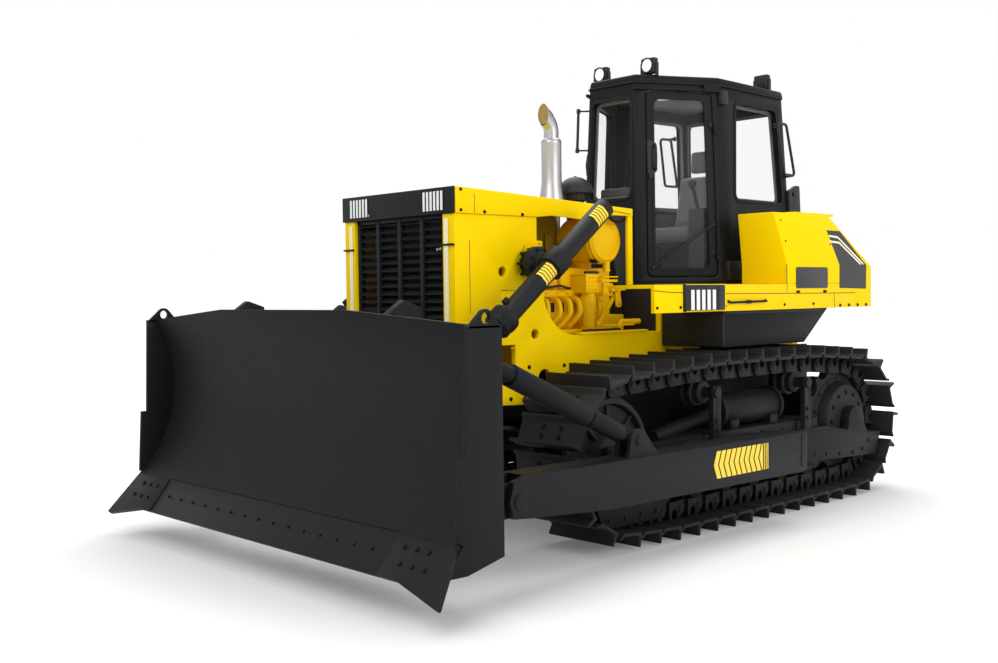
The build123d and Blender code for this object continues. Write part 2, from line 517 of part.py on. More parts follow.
TANK_LEAN = 90  # how far a tank's side leans in at the top
with BuildPart() as side_tanks:
    outline([(TANK_FRONT, DECK_Z1), (TANK_FRONT, KNEE_Z), (TANK_FRONT + 50, TANK_TOP), (238, TANK_TOP),
             (TANK_REAR, KNEE_Z - 12), (TANK_REAR, DECK_Z0), (DECK_REAR - LAP, DECK_Z0), (DECK_REAR - LAP, DECK_Z1)],
            TANK_IN, DECK_HALF)
    with BuildSketch(Plane.YZ.offset(SX + TANK_REAR - 10)) as lean:
        with BuildLine():
            Polyline((DECK_HALF, KNEE_Z), (DECK_HALF + 50, KNEE_Z), (DECK_HALF + 50, TANK_TOP + 10),
                     (DECK_HALF - TANK_LEAN, TANK_TOP + 10), close=True)
        make_face()
    extrude(lean.sketch, amount=TANK_FRONT - TANK_REAR + 100, mode=Mode.SUBTRACT)
    mirrored()
keep("side_tanks", side_tanks.part)

REAR_X = -190  # front of the rear tank
with BuildPart() as rear_tank:
    outline([(TANK_REAR, DECK_Z0), (TANK_REAR, KNEE_Z - 12), (TANK_REAR + 60, 1930), (REAR_X, 1930),
             (REAR_X, DECK_Z0)], -TANK_IN, TANK_IN)
    block(TANK_REAR, REAR_X, -500, 500, CASE_TOP, DECK_Z0)
keep("rear_tank", rear_tank.part)

PANEL_Z0 = 1262  # underside of the panels, above the track's grousers
with BuildPart() as under_panels:
    outline([(300, DECK_Z0), (1850, DECK_Z0), (1850, PANEL_Z0), (645, PANEL_Z0)], BODY_HALF, DECK_HALF - 50)
    mirrored()
keep("under_panels", under_panels.part)

with BuildPart() as drawbar:
    block(TOW_X - 60, BODY_REAR, -70, 70, TOW_Z - 30, TOW_Z + 30)
    block(BODY_REAR - 120, BODY_REAR, -160, 160, 470, 720)
    with Locations((SX + TOW_X, 0, TOW_Z)):
        Cylinder(TOW_R, 100, mode=Mode.SUBTRACT)
keep("drawbar", drawbar.part)

# ---------------------------------------------------------------- cab
# Walls stand on a six-sided plan and all lean in by CAB_TAPER.
plan = [
    (CAB_NOSE[0], -CAB_NOSE[1]), CAB_NOSE, CAB_SIDE, CAB_BACK,
    (CAB_BACK[0], -CAB_BACK[1]), (CAB_SIDE[0], -CAB_SIDE[1]),
]
wall_h = (CAB_Z1 - CAB_Z0) / cos(radians(CAB_TAPER))


def cab_plan(inset, z=CAB_Z0):
    """Cab plan at the floor, moved inwards; the sketch is left for the caller to extrude."""
    with BuildSketch(Plane.XY.offset(z)) as face:
        with BuildLine():
            Polyline(*[(SX + x, y) for x, y in plan], close=True)
        make_face()
        if inset:
            offset(amount=-inset, kind=Kind.INTERSECTION, mode=Mode.REPLACE)
    return face.sketch


def wall_plane(start, end):
    """Plane on a leaning wall's outer face: X along the wall, Y up the wall, Z outwards."""
    along = Vector(end[0] - start[0], end[1] - start[1], 0).normalized()
    outward = Vector(along.Y, -along.X, 0)
    up = (Vector(0, 0, 1) - outward * tan(radians(CAB_TAPER))).normalized()
    return Plane(origin=(SX + start[0], start[1], CAB_Z0), x_dir=along, z_dir=along.cross(up))


def window(length, left, right, lean=20):
    """Outline of a window in a wall of this length: side margins and lean of the sides."""
    return [(left, SILL), (length - right, SILL), (length - right - lean, wall_h - HEAD), (left + lean, wall_h - HEAD)]


def wall_cut(plane, points, depth, inset=0, start=0):
    """A straight-sided piece on a wall plane: outline inset, from start inwards by depth."""
    with BuildSketch(plane.offset(-start)) as face:
        with BuildLine():
            Polyline(*points, close=True)
        make_face()
        if inset:
            offset(amount=-inset, kind=Kind.INTERSECTION, mode=Mode.REPLACE)
    with BuildPart() as piece:
        extrude(face.sketch, amount=-depth)
    return piece.part


def wall_bar(plane, start, end, radius, out, mode=Mode.ADD):
    """Add a round bar between two points (X, Y) on a wall, this far out from its face."""
    a, b = [plane.from_local_coords((x, y, out)) for x, y in (start, end)]
    with BuildSketch(Plane(origin=a, z_dir=b - a)) as disc:
        Circle(radius)
    extrude(disc.sketch, amount=(b - a).length, mode=mode)


def wall_stud(plane, at, radius, length, root=0):
    """Add a round bar that stands out from a wall at a point (X, Y), rooted this deep in it."""
    foot_at = Plane(origin=plane.from_local_coords((*at, -root)), z_dir=plane.z_dir)
    with BuildSketch(foot_at) as disc:
        Circle(radius)
    extrude(disc.sketch, amount=length + root)


def wall_leaf(plane, x0, x1, y0, y1, thick):
    """Add a flat plate on a wall's outer face."""
    with BuildSketch(plane.offset(-LAP)) as plate:
        with Locations(((x0 + x1) / 2, (y0 + y1) / 2)):
            Rectangle(abs(x1 - x0), y1 - y0)
    extrude(plate.sketch, amount=thick + LAP)


wall_len = [hypot(b[0] - a[0], b[1] - a[1]) for a, b in zip(plan, plan[1:])]
front_plane, door_plane, side_plane, rear_plane = [wall_plane(a, b) for a, b in zip(plan[:4], plan[1:5])]
front_win = window(wall_len[0], 50, 50)
side_win = window(wall_len[2], 190, 120, lean=60)
rear_win = window(wall_len[3], 75, 75)
door_back = wall_len[1] - DOOR_SIDE
door_hole = [(DOOR_FRONT, DOOR_FOOT), (door_back, DOOR_FOOT), (door_back - DOOR_LEAN, wall_h - DOOR_HEAD),
             (DOOR_FRONT + DOOR_LEAN, wall_h - DOOR_HEAD)]
hinge_x = door_back - 10  # hinge line, over the gap at the door's rear edge
JAMB_GAP = 8  # cab leaf clears the door's edge
CUT_DEPTH = CAB_WALL + 60

with BuildPart() as cab_shell:
    extrude(cab_plan(0), amount=CAB_Z1 - CAB_Z0, taper=CAB_TAPER)
    extrude(cab_plan(CAB_WALL), amount=CAB_Z1 - CAB_Z0, taper=CAB_TAPER, mode=Mode.SUBTRACT)
    extrude(cab_plan(CAB_WALL - 5), amount=FLOOR_T)
    for plane, points in ((front_plane, front_win), (rear_plane, rear_win)):
        add(wall_cut(plane, points, CUT_DEPTH, start=-20), mode=Mode.SUBTRACT)
    for plane, points in ((side_plane, side_win), (door_plane, door_hole)):
        hole = wall_cut(plane, points, CUT_DEPTH, start=-20)
        add(hole, mode=Mode.SUBTRACT)
        add(mirror(hole, about=Plane.XZ, mode=Mode.PRIVATE), mode=Mode.SUBTRACT)
    with BuildPart(mode=Mode.PRIVATE) as cab_hinges:
        for y in HINGE_H:
            wall_leaf(door_plane, hinge_x + JAMB_GAP, hinge_x + LEAF_W, y, y + KNUCKLE_H, LEAF_T)
            wall_bar(door_plane, (hinge_x, y), (hinge_x, y + KNUCKLE_H), HINGE_R, HINGE_OUT)
            wall_bar(door_plane, (hinge_x, y), (hinge_x, y + 2 * KNUCKLE_H + 5), HINGE_PIN_R, HINGE_OUT)
    add(cab_hinges.part)
    add(mirror(cab_hinges.part, about=Plane.XZ, mode=Mode.PRIVATE))
keep("cab_shell", cab_shell.part)

with BuildPart() as cab_roof:
    extrude(cab_plan((CAB_Z1 - CAB_Z0) * tan(radians(CAB_TAPER)) - 6, CAB_Z1), amount=ROOF_T, taper=12)
keep("cab_roof", cab_roof.part)

with BuildPart() as cab_glass:
    for plane, points in ((front_plane, front_win), (rear_plane, rear_win)):
        add(wall_cut(plane, points, GLASS_T, start=CAB_WALL / 2))
    pane = wall_cut(side_plane, side_win, GLASS_T, start=CAB_WALL / 2)
    add(pane)
    add(mirror(pane, about=Plane.XZ, mode=Mode.PRIVATE))
keep("cab_glass", cab_glass.part)

# Doors: a frame around a pane, on two hinges outside the rear edge, with a pull handle.
HANDLE_X, HANDLE_Y, HANDLE_OUT, HANDLE_R = DOOR_FRONT + 35, (890, 1070), 36, 11
door_pane = wall_cut(door_plane, door_hole, GLASS_T, inset=DOOR_RIM, start=DOOR_T / 2)
with BuildPart() as door_left:
    add(wall_cut(door_plane, door_hole, DOOR_T, inset=DOOR_GAP))
    add(wall_cut(door_plane, door_hole, DOOR_T + 20, inset=DOOR_RIM, start=-10), mode=Mode.SUBTRACT)
    for y in HANDLE_Y:
        wall_stud(door_plane, (HANDLE_X, y), HANDLE_R - 2, HANDLE_OUT, root=LAP)
    wall_bar(door_plane, (HANDLE_X, HANDLE_Y[0] - 15), (HANDLE_X, HANDLE_Y[1] + 15), HANDLE_R, HANDLE_OUT)
    for y in HINGE_H:
        foot, head = y + KNUCKLE_H + 2, y + 2 * KNUCKLE_H
        wall_leaf(door_plane, hinge_x - LEAF_W, hinge_x - HINGE_R + 4, foot, head, LEAF_T + 4)
        wall_bar(door_plane, (hinge_x, foot), (hinge_x, head), HINGE_R, HINGE_OUT)
        wall_bar(door_plane, (hinge_x, foot - 1), (hinge_x, head + 1), HINGE_PIN_R + HINGE_FIT, HINGE_OUT,
                 mode=Mode.SUBTRACT)
keep("door_left", door_left.part)
keep("door_glass_left", door_pane)
with BuildPart() as door_right:
    mirror(door_left.part, about=Plane.XZ)
keep("door_right", door_right.part)
keep("door_glass_right", mirror(door_pane, about=Plane.XZ))

with BuildPart() as seat:
    block(SEAT_X - 170, SEAT_X + 170, -170, 170, FLOOR, FLOOR + 300)
    block(SEAT_X - 210, SEAT_X + 300, -250, 250, FLOOR + 300, FLOOR + 430)
    outline([(SEAT_X - 205, FLOOR + 425), (SEAT_X - 85, FLOOR + 425), (SEAT_X - 190, FLOOR + 905),
             (SEAT_X - 300, FLOOR + 905)], -235, 235)
    outline([(SEAT_X - 285, FLOOR + 900), (SEAT_X - 200, FLOOR + 900), (SEAT_X - 215, FLOOR + 1110),
             (SEAT_X - 290, FLOOR + 1110)], -130, 130)
keep("seat", seat.part)

CONSOLE_Y, CONSOLE_W, CONSOLE_H = 280, 150, 560
with BuildPart() as console:
    for y in (-CONSOLE_Y - CONSOLE_W, CONSOLE_Y):
        block(SEAT_X - 200, SEAT_X + 330, y, y + CONSOLE_W, FLOOR, FLOOR + CONSOLE_H)
    for y in (CONSOLE_Y + CONSOLE_W / 2, -CONSOLE_Y - CONSOLE_W / 2):
        tube_to((SEAT_X + 300, y, FLOOR + CONSOLE_H - 5), (SEAT_X + 370, y, FLOOR + CONSOLE_H + 180), 14)
        with Locations((SX + SEAT_X + 376, y, FLOOR + CONSOLE_H + 195)):
            Sphere(34)
    outline([(1330, FLOOR), (1440, FLOOR), (1480, FLOOR + 640), (1330, FLOOR + 560)], -180, 180)
keep("console", console.part)

LAMPS = ((1405, 248), (100, 407))
with BuildPart() as work_lights:
    for x, y in LAMPS:
        facing = 1 if x > SEAT_X else -1
        block(x - 12, x + 12, y - 20, y + 20, CAB_Z1 + ROOF_T, CAB_Z1 + ROOF_T + 20)
        tube_to((x - 25 * facing, y, CAB_Z1 + ROOF_T + 15 + LAMP_R), (x + 35 * facing, y, CAB_Z1 + ROOF_T + 15 + LAMP_R),
                LAMP_R)
    mirrored()
keep("work_lights", work_lights.part)


def grab_rail(plane, points, out):
    """Add a grab rail beside a wall: a bar between two points (X, Y) on two stand-offs."""
    for at in points:
        wall_stud(plane, at, RAIL_R - 3, out)
        with Locations(plane.from_local_coords((*at, out))):
            Sphere(RAIL_R + 5)
    wall_bar(plane, *points, RAIL_R, out)


right_plane = wall_plane(plan[5], plan[0])  # wall with the right door
with BuildPart() as handrails:
    grab_rail(side_plane, [(wall_len[2] - 60, 920), (wall_len[2] - 85, 1315)], 90)
    mirrored()
    grab_rail(right_plane, [(wall_len[1] - 34, 1080), (wall_len[1] - 34, 1395)], 85)
keep("handrails", handrails.part)


# ---------------------------------------------------------------- blade and arms
def face_x(z, behind=0):
    """X of the moldboard's face at a height, or of a surface this far behind it."""
    return BLADE_X + FACE_C[0] - ((FACE_R + behind) ** 2 - (z - FACE_C[1]) ** 2) ** 0.5


def face_arc(z0, z1, behind=0):
    """Arc of the face between two heights, for the line being drawn; returns its ends."""
    points = [(SX + face_x(z, behind), z) for z in (z0, (z0 + z1) / 2, z1)]
    ThreePointArc(*points)
    return points[0], points[-1]


tip_x, tip_z = at_blade(EDGE_TIP)
slope = Vector(face_x(FACE_FOOT) - tip_x, 0, FACE_FOOT - tip_z)
slope_len = slope.length
slope = slope.normalized()
edge_plane = Plane(origin=(SX + tip_x, 0, tip_z), x_dir=(0, 1, 0), z_dir=Vector(0, 1, 0).cross(slope))


def edge_x(z, behind=0):
    """X at a height on the cutting edge's front face, or on a plane this far behind it."""
    return tip_x + slope.X / slope.Z * (z - tip_z) - behind / slope.Z


def blade_rib(y0, y1, z0, z1):
    """Add a rib between the back of the blade and the face."""
    with BuildSketch(Plane.XZ.offset(-y0)) as rib:
        with BuildLine():
            low, high = face_arc(z0, z1, PLATE_BLADE / 2)
            Polyline(high, (SX + BLADE_X, z1), (SX + BLADE_X, z0), low)
        make_face()
    extrude(rib.sketch, amount=y0 - y1)


def blade_outline(points, y0, y1):
    """Extrude an outline given from the blade's back."""
    outline([at_blade(point) for point in points], y0, y1)


BEAM_T = 14  # closing plates of the box beams
WEAR_Z = 855  # top of the end plates' wider foot
SHELF_Z = (600, 1280, 1495)  # undersides of the shelves across the back
SHELF_T = 15
EDGE_HALF = 1280 / 1750 * BLADE_HALF  # half length of the middle cutting edge
eye = at_blade(EYE)
brace_head = at_blade(BRACE_HEAD)
heel_pin = at_blade(HEEL_PIN)
ear = (BLADE_X + EAR_X, EAR_Z)
lug_out = LUG_IN + LUG_T
with BuildPart() as moldboard:
    with BuildSketch(Plane.XZ.offset(BLADE_HALF)) as shell:
        with BuildLine():
            front_low, front_high = face_arc(FACE_FOOT, BLADE_TOP)
            back_low, back_high = face_arc(FACE_FOOT, BLADE_TOP, PLATE_BLADE)
            Line(front_low, back_low)
            Line(front_high, back_high)
        make_face()
    extrude(shell.sketch, amount=-2 * BLADE_HALF)
    # backing strip behind the cutting edge, and the plates that close the box beams
    with BuildSketch(edge_plane.offset(-EDGE_T)) as strip:
        with Locations((0, slope_len / 2 + 25)):
            Rectangle(2 * BLADE_HALF, slope_len - 50)
    extrude(strip.sketch, amount=-PLATE_BLADE)
    for z in SHELF_Z:
        blade_rib(20 - BLADE_HALF, BLADE_HALF - 20, z, z + SHELF_T)
    for z0, z1 in ((330, SHELF_Z[0] + SHELF_T), (SHELF_Z[1], BLADE_LOW)):
        block(BLADE_X, BLADE_X + BEAM_T, -BLADE_HALF, BLADE_HALF, z0, z1)
    outline([(BLADE_X, 330), (BLADE_X, 345), (edge_x(300, EDGE_T + 20), 300), (edge_x(285, EDGE_T + 20), 285)],
            -BLADE_HALF, BLADE_HALF)
    # end plates close the hollow face, and carry the lifting ears
    for y in (-BLADE_HALF, BLADE_HALF - END_T):
        outline([(BLADE_X, 312), (BLADE_X + 254, 253), (edge_x(255, EDGE_T + 2), 255),
                 (edge_x(410, EDGE_T + 2), 410), (BLADE_X + 322, 430), (BLADE_X + 300, WEAR_Z),
                 (BLADE_X + 258, WEAR_Z), (BLADE_X + 240, BLADE_LOW), (BLADE_X, BLADE_LOW)], y, y + END_T)
        blade_outline([(30, BLADE_LOW - 10), (60, EAR_Z + 45), (160, EAR_Z + 45), (210, BLADE_LOW - 10)], y, y + END_T)
    for y in RIB_Y:
        for side_y in {y, -y}:
            blade_rib(side_y - RIB_T / 2, side_y + RIB_T / 2, FACE_FOOT + 5, BLADE_LOW)
    for side_y in (-1, 1):
        mid = side_y * LIFT_Y
        # tall rib that ends in a gable above the blade, and the lugs of the rod eye on it
        blade_rib(mid - 27, mid + 27, FACE_FOOT + 5, BLADE_LOW + 50)
        blade_outline([(80, 1550), (-54, 1640), (-178, 1598), (-190, 1450), (5, 1250), (50, 1250)], mid - 27, mid + 27)
        for y0 in (mid - lug_out, mid + LUG_IN):
            blade_outline([(20, EYE[1] - 160), (EYE[0] - 20, EYE[1] - 75), (EYE[0] - 70, EYE[1] + 10),
                           (EYE[0] - 20, EYE[1] + 75), (20, EYE[1] + 160)], y0, y0 + LUG_T)
        block(BLADE_X + 6, BLADE_X + 38, mid - lug_out, mid + lug_out, EYE[1] - 160, EYE[1] + 160)
        for y0 in (mid - lug_out - 12, mid + lug_out):
            rod_y(*eye, PIN_R + 12, y0, y0 + 12)
    # crown of the top edge: level in the middle, falling to the ends
    with BuildSketch(Plane.YZ.offset(SX + BLADE_X + 200)) as crown:
        with BuildLine():
            Polyline((-BLADE_HALF - 5, BLADE_LOW), (140 - BLADE_HALF, BLADE_LOW + 12),
                     (1050 - BLADE_HALF, BLADE_TOP + 0.5), (BLADE_HALF - 1050, BLADE_TOP + 0.5),
                     (BLADE_HALF - 140, BLADE_LOW + 12), (BLADE_HALF + 5, BLADE_LOW),
                     (BLADE_HALF + 5, BLADE_TOP + 112), (-BLADE_HALF - 5, BLADE_TOP + 112), close=True)
        make_face()
    extrude(crown.sketch, amount=200, mode=Mode.SUBTRACT)
    with BuildSketch(Plane.YZ.offset(SX + BLADE_X + 100)) as crown_inside:
        add(crown.sketch.moved(Location((-100, 0, 0))))
        with Locations((0, BLADE_LOW)):
            Rectangle(2 * (BLADE_HALF - END_T), 2 * (BLADE_TOP - BLADE_LOW) + 300, mode=Mode.INTERSECT)
    extrude(crown_inside.sketch, amount=100, mode=Mode.SUBTRACT)
    for y in (-BLADE_HALF, BLADE_HALF):
        rod_y(*ear, EAR_R, y - 2 * END_T, y + 2 * END_T, mode=Mode.SUBTRACT)
    # lugs for the push arms and the braces
    for side_y in (-1, 1):
        mid = side_y * ARM_MID
        blade_outline([(10, 420), (-330, 440), (-345, 530), (-330, 620), (10, 640)], mid - 60, mid + 60)
        for y0 in (mid - BRACE_HALF - CHEEK_GAP - CHEEK_T, mid + BRACE_HALF + CHEEK_GAP):
            blade_outline([(10, 1210), (-110, 1275), (-135, 1330), (-110, 1385), (10, 1450)], y0, y0 + CHEEK_T)
        rod_y(*brace_head, BRACE_PIN_R, mid - 65, mid + 65, mode=Mode.SUBTRACT)
        rod_y(*heel_pin, HEEL_PIN_R + TRUNNION_FIT, mid - 61, mid + 61, mode=Mode.SUBTRACT)
keep("moldboard", moldboard.part)

BIT_STEP, BIT_DROP, BIT_FLARE = 8, 85, 150  # end bit: proud of the edge, point below it, toe's width
with BuildPart() as cutting_edges:
    with BuildSketch(edge_plane) as edge_face:
        with Locations((0, slope_len / 2)):
            Rectangle(2 * EDGE_HALF, slope_len)
    extrude(edge_face.sketch, amount=-EDGE_T)
    toe = BLADE_HALF + BIT_OVER
    bit = [(EDGE_HALF + LAP, slope_len - 14), (BLADE_HALF - 15, slope_len - 14), (toe, 3 - BIT_DROP),
           (toe - 13, -BIT_DROP - 3), (EDGE_HALF + BIT_FLARE, 0), (EDGE_HALF + LAP, 0)]
    for side_y in (-1, 1):
        with BuildSketch(edge_plane.offset(BIT_STEP)) as bit_face:
            with BuildLine():
                Polyline(*[(side_y * u, v) for u, v in bit], close=True)
            make_face()
        extrude(bit_face.sketch, amount=-EDGE_T - BIT_STEP)
keep("cutting_edges", cutting_edges.part)

ARM_CHEEK = 46
arm_x = BLADE_X - ARM_TIP
brace_x = BRACE_FOOT[0]
with BuildPart() as push_arms:
    outline([(TRUNNION_X - 125, ARM_Z0), (TRUNNION_X - 125, ARM_Z1 - 5), (TRUNNION_X - 70, ARM_Z1),
             (arm_x, ARM_Z1 + 12), (arm_x, 430), (arm_x - 680, ARM_Z0), (TRUNNION_X - 70, ARM_Z0 - 15)],
            ARM_IN, ARM_OUT)
    for y in (ARM_IN, ARM_OUT - ARM_CHEEK):
        outline([(arm_x - LAP, ARM_Z1 + 12), (heel_pin[0] + 42, 640), (heel_pin[0] + 77, HEEL_PIN[1]),
                 (heel_pin[0] + 42, 440), (arm_x - LAP, 430)], y, y + ARM_CHEEK)
    rod_y(*heel_pin, HEEL_PIN_R, ARM_IN - 8, ARM_OUT + 8)
    rod_y(TRUNNION_X, TRUNNION_Z, TRUNNION_R + TRUNNION_FIT, ARM_IN - 5, ARM_IN + 80, mode=Mode.SUBTRACT)
    for y in (ARM_MID - BRACE_HALF - CHEEK_GAP - CHEEK_T, ARM_MID + BRACE_HALF + CHEEK_GAP):
        outline([(brace_x - 190, 650), (brace_x + 100, 650), (brace_x + 70, 790), (brace_x + 40, 830),
                 (brace_x - 40, 830)], y, y + CHEEK_T)
    rod_y(*BRACE_FOOT, BRACE_PIN_R, ARM_MID - 72, ARM_MID + 72)
    mirrored()
keep("push_arms", push_arms.part)

brace = Vector(brace_head[0] - BRACE_FOOT[0], 0, brace_head[1] - BRACE_FOOT[1])
brace_len = brace.length
brace = brace.normalized()


def along_brace(distance):
    """Point on the brace's centre line, at a distance from its foot."""
    return (BRACE_FOOT[0] + brace.X * distance, ARM_MID, BRACE_FOOT[1] + brace.Z * distance)


# Screw braces: two screwed rods, a sleeve and a collar; runs given from the foot.
brace_runs = [(50, brace_len - 50, 31), (120, brace_len - 120, 48), (130, 430, 58), (450, brace_len - 275, 66)]
with BuildPart() as braces:
    for start, end, radius in brace_runs:
        tube_to(along_brace(start), along_brace(end), radius)
    for at in (BRACE_FOOT, brace_head):
        rod_y(*at, BRACE_EYE_R, ARM_MID - BRACE_HALF, ARM_MID + BRACE_HALF)
        rod_y(*at, BRACE_PIN_R, ARM_MID - BRACE_HALF, ARM_MID + BRACE_HALF, mode=Mode.SUBTRACT)
    rod_y(*brace_head, BRACE_PIN_R, ARM_MID - 62, ARM_MID + 62)
    mirrored()
keep("braces", braces.part)

# ---------------------------------------------------------------- lift cylinders
lift = Vector(eye[0] - YOKE[0], 0, eye[1] - YOKE[1])
lift_len = lift.length
lift = lift.normalized()


def along_lift(distance):
    """Point on the left cylinder's centre line, at a distance from its trunnion."""
    return (YOKE[0] + lift.X * distance, LIFT_Y, YOKE[1] + lift.Z * distance)


YOKE_FLANGE_T = 35
STUB_R, STUB_FIT = 35.5, 0.5
collar_in = LIFT_Y - BARREL_R  # inner side of the barrel
with BuildPart() as cylinder_yokes:
    rod_y(*YOKE, 125, BODY_HALF, BODY_HALF + YOKE_FLANGE_T)
    rod_y(*YOKE, 62, BODY_HALF + YOKE_FLANGE_T, collar_in - COLLAR_T - 14)
    rod_y(*YOKE, STUB_R + STUB_FIT, BODY_HALF + YOKE_FLANGE_T + 25, collar_in, mode=Mode.SUBTRACT)
    mirrored()
keep("cylinder_yokes", cylinder_yokes.part)

HEAD_L, CAP_T = 60, 40  # gland and end cap inside the barrel
with BuildPart() as lift_barrel_left:
    tube_to(along_lift(-BARREL_UP), along_lift(BARREL_DOWN), BARREL_R)
    tube_to(along_lift(-TRUNNION_W / 2), along_lift(TRUNNION_W / 2), BARREL_R + COLLAR_T)
    tube_to(along_lift(BARREL_DOWN - HEAD_L - 10), along_lift(BARREL_DOWN), BARREL_R + 14)
    rod_y(*YOKE, STUB_R, BODY_HALF + YOKE_FLANGE_T + 27, LIFT_Y)
    tube_to(along_lift(CAP_T - BARREL_UP), along_lift(BARREL_DOWN - HEAD_L), BORE_R, mode=Mode.SUBTRACT)
    tube_to(along_lift(BARREL_DOWN - HEAD_L - LAP), along_lift(BARREL_DOWN + LAP), ROD_R + ROD_FIT, mode=Mode.SUBTRACT)
keep("lift_barrel_left", lift_barrel_left.part)

PISTON_L = 60
with BuildPart() as lift_rod_left:
    tube_to(along_lift(lift_len - ROD_L), along_lift(lift_len - 40), ROD_R)
    tube_to(along_lift(lift_len - ROD_L), along_lift(lift_len - ROD_L + PISTON_L), BORE_R - ROD_FIT)
    rod_y(*eye, EYE_R, LIFT_Y - EYE_W / 2, LIFT_Y + EYE_W / 2)
keep("lift_rod_left", lift_rod_left.part)
for name, piece in (("lift_barrel_right", lift_barrel_left), ("lift_rod_right", lift_rod_left)):
    with BuildPart() as opposite:
        mirror(piece.part, about=Plane.XZ)
    keep(name, opposite.part)

os.makedirs("parts", exist_ok=True)
for label, piece in parts.items():
    piece.label = label
    export_step(piece, f"parts/{label}.step")
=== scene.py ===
"""Crawler bulldozer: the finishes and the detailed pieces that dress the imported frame."""
import logging
import math
from dataclasses import dataclass
from enum import Enum
from typing import Iterable, Sequence

import bmesh
import bpy
from mathutils import Matrix, Vector


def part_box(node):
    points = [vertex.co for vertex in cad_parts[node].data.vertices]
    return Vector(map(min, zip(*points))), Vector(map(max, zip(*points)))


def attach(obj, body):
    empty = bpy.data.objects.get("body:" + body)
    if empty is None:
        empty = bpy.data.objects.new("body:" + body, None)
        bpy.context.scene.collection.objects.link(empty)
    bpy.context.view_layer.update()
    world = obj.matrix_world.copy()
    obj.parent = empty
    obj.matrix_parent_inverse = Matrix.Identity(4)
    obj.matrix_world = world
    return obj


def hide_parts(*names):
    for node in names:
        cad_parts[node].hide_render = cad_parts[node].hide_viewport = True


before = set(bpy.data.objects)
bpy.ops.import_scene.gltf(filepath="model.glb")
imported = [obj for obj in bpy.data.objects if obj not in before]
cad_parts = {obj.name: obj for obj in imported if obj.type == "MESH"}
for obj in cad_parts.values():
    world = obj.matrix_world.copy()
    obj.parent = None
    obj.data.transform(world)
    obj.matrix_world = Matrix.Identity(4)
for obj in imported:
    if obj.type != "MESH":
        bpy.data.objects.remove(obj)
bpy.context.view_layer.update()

LOG = logging.getLogger("bulldozer")

# Pieces are built with X measured from the sprocket axle; finishing moves them into the frame.
AXLE_X = sum(corner.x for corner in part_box("sprockets")) / 2
MIRROR = Matrix.Scale(-1, 4, (0, 1, 0))
SKIN = 0.0015  # how far a marking or a seam stands off its sheet
MERGE = 1e-6  # corners nearer than this are one

Pair = tuple[float, float]
Triple = tuple[float, float, float]

LEFT: Triple = (0, 1, 0)
UP: Triple = (0, 0, 1)


class Body(Enum):
    """The bodies that move, by their names in the frame."""

    TRACTOR = "tractor"
    BLADE = "blade"
    DOOR_LEFT = "door_left"
    DOOR_RIGHT = "door_right"
    BARREL_LEFT = "lift_barrel_left"
    BARREL_RIGHT = "lift_barrel_right"
    ROD_LEFT = "lift_rod_left"
    ROD_RIGHT = "lift_rod_right"


class Facing(Enum):
    """The plane that a flat outline is drawn on; its thickness runs along the third axis."""

    SIDE = (0, 2, 1)
    TOP = (0, 1, 2)

    def place(self, across: float, up: float, depth: float) -> Vector:
        """Return the point for a place on the outline and a depth along the third axis."""
        point = Vector((0, 0, 0))
        for axis, value in zip(self.value, (across, up, depth)):
            point[axis] = value
        return point


def linear(red: int, green: int, blue: int) -> Triple:
    """Return a colour given on the 0 to 255 display scale as linear light."""
    def decode(level: int) -> float:
        """Return one channel as linear light."""
        share = level / 255
        return share / 12.92 if share <= 0.04045 else ((share + 0.055) / 1.055) ** 2.4
    return decode(red), decode(green), decode(blue)


# ---- finishes
MIX_COLOURS, MIX_RESULT = (6, 7), 2  # a Mix node's colour sockets


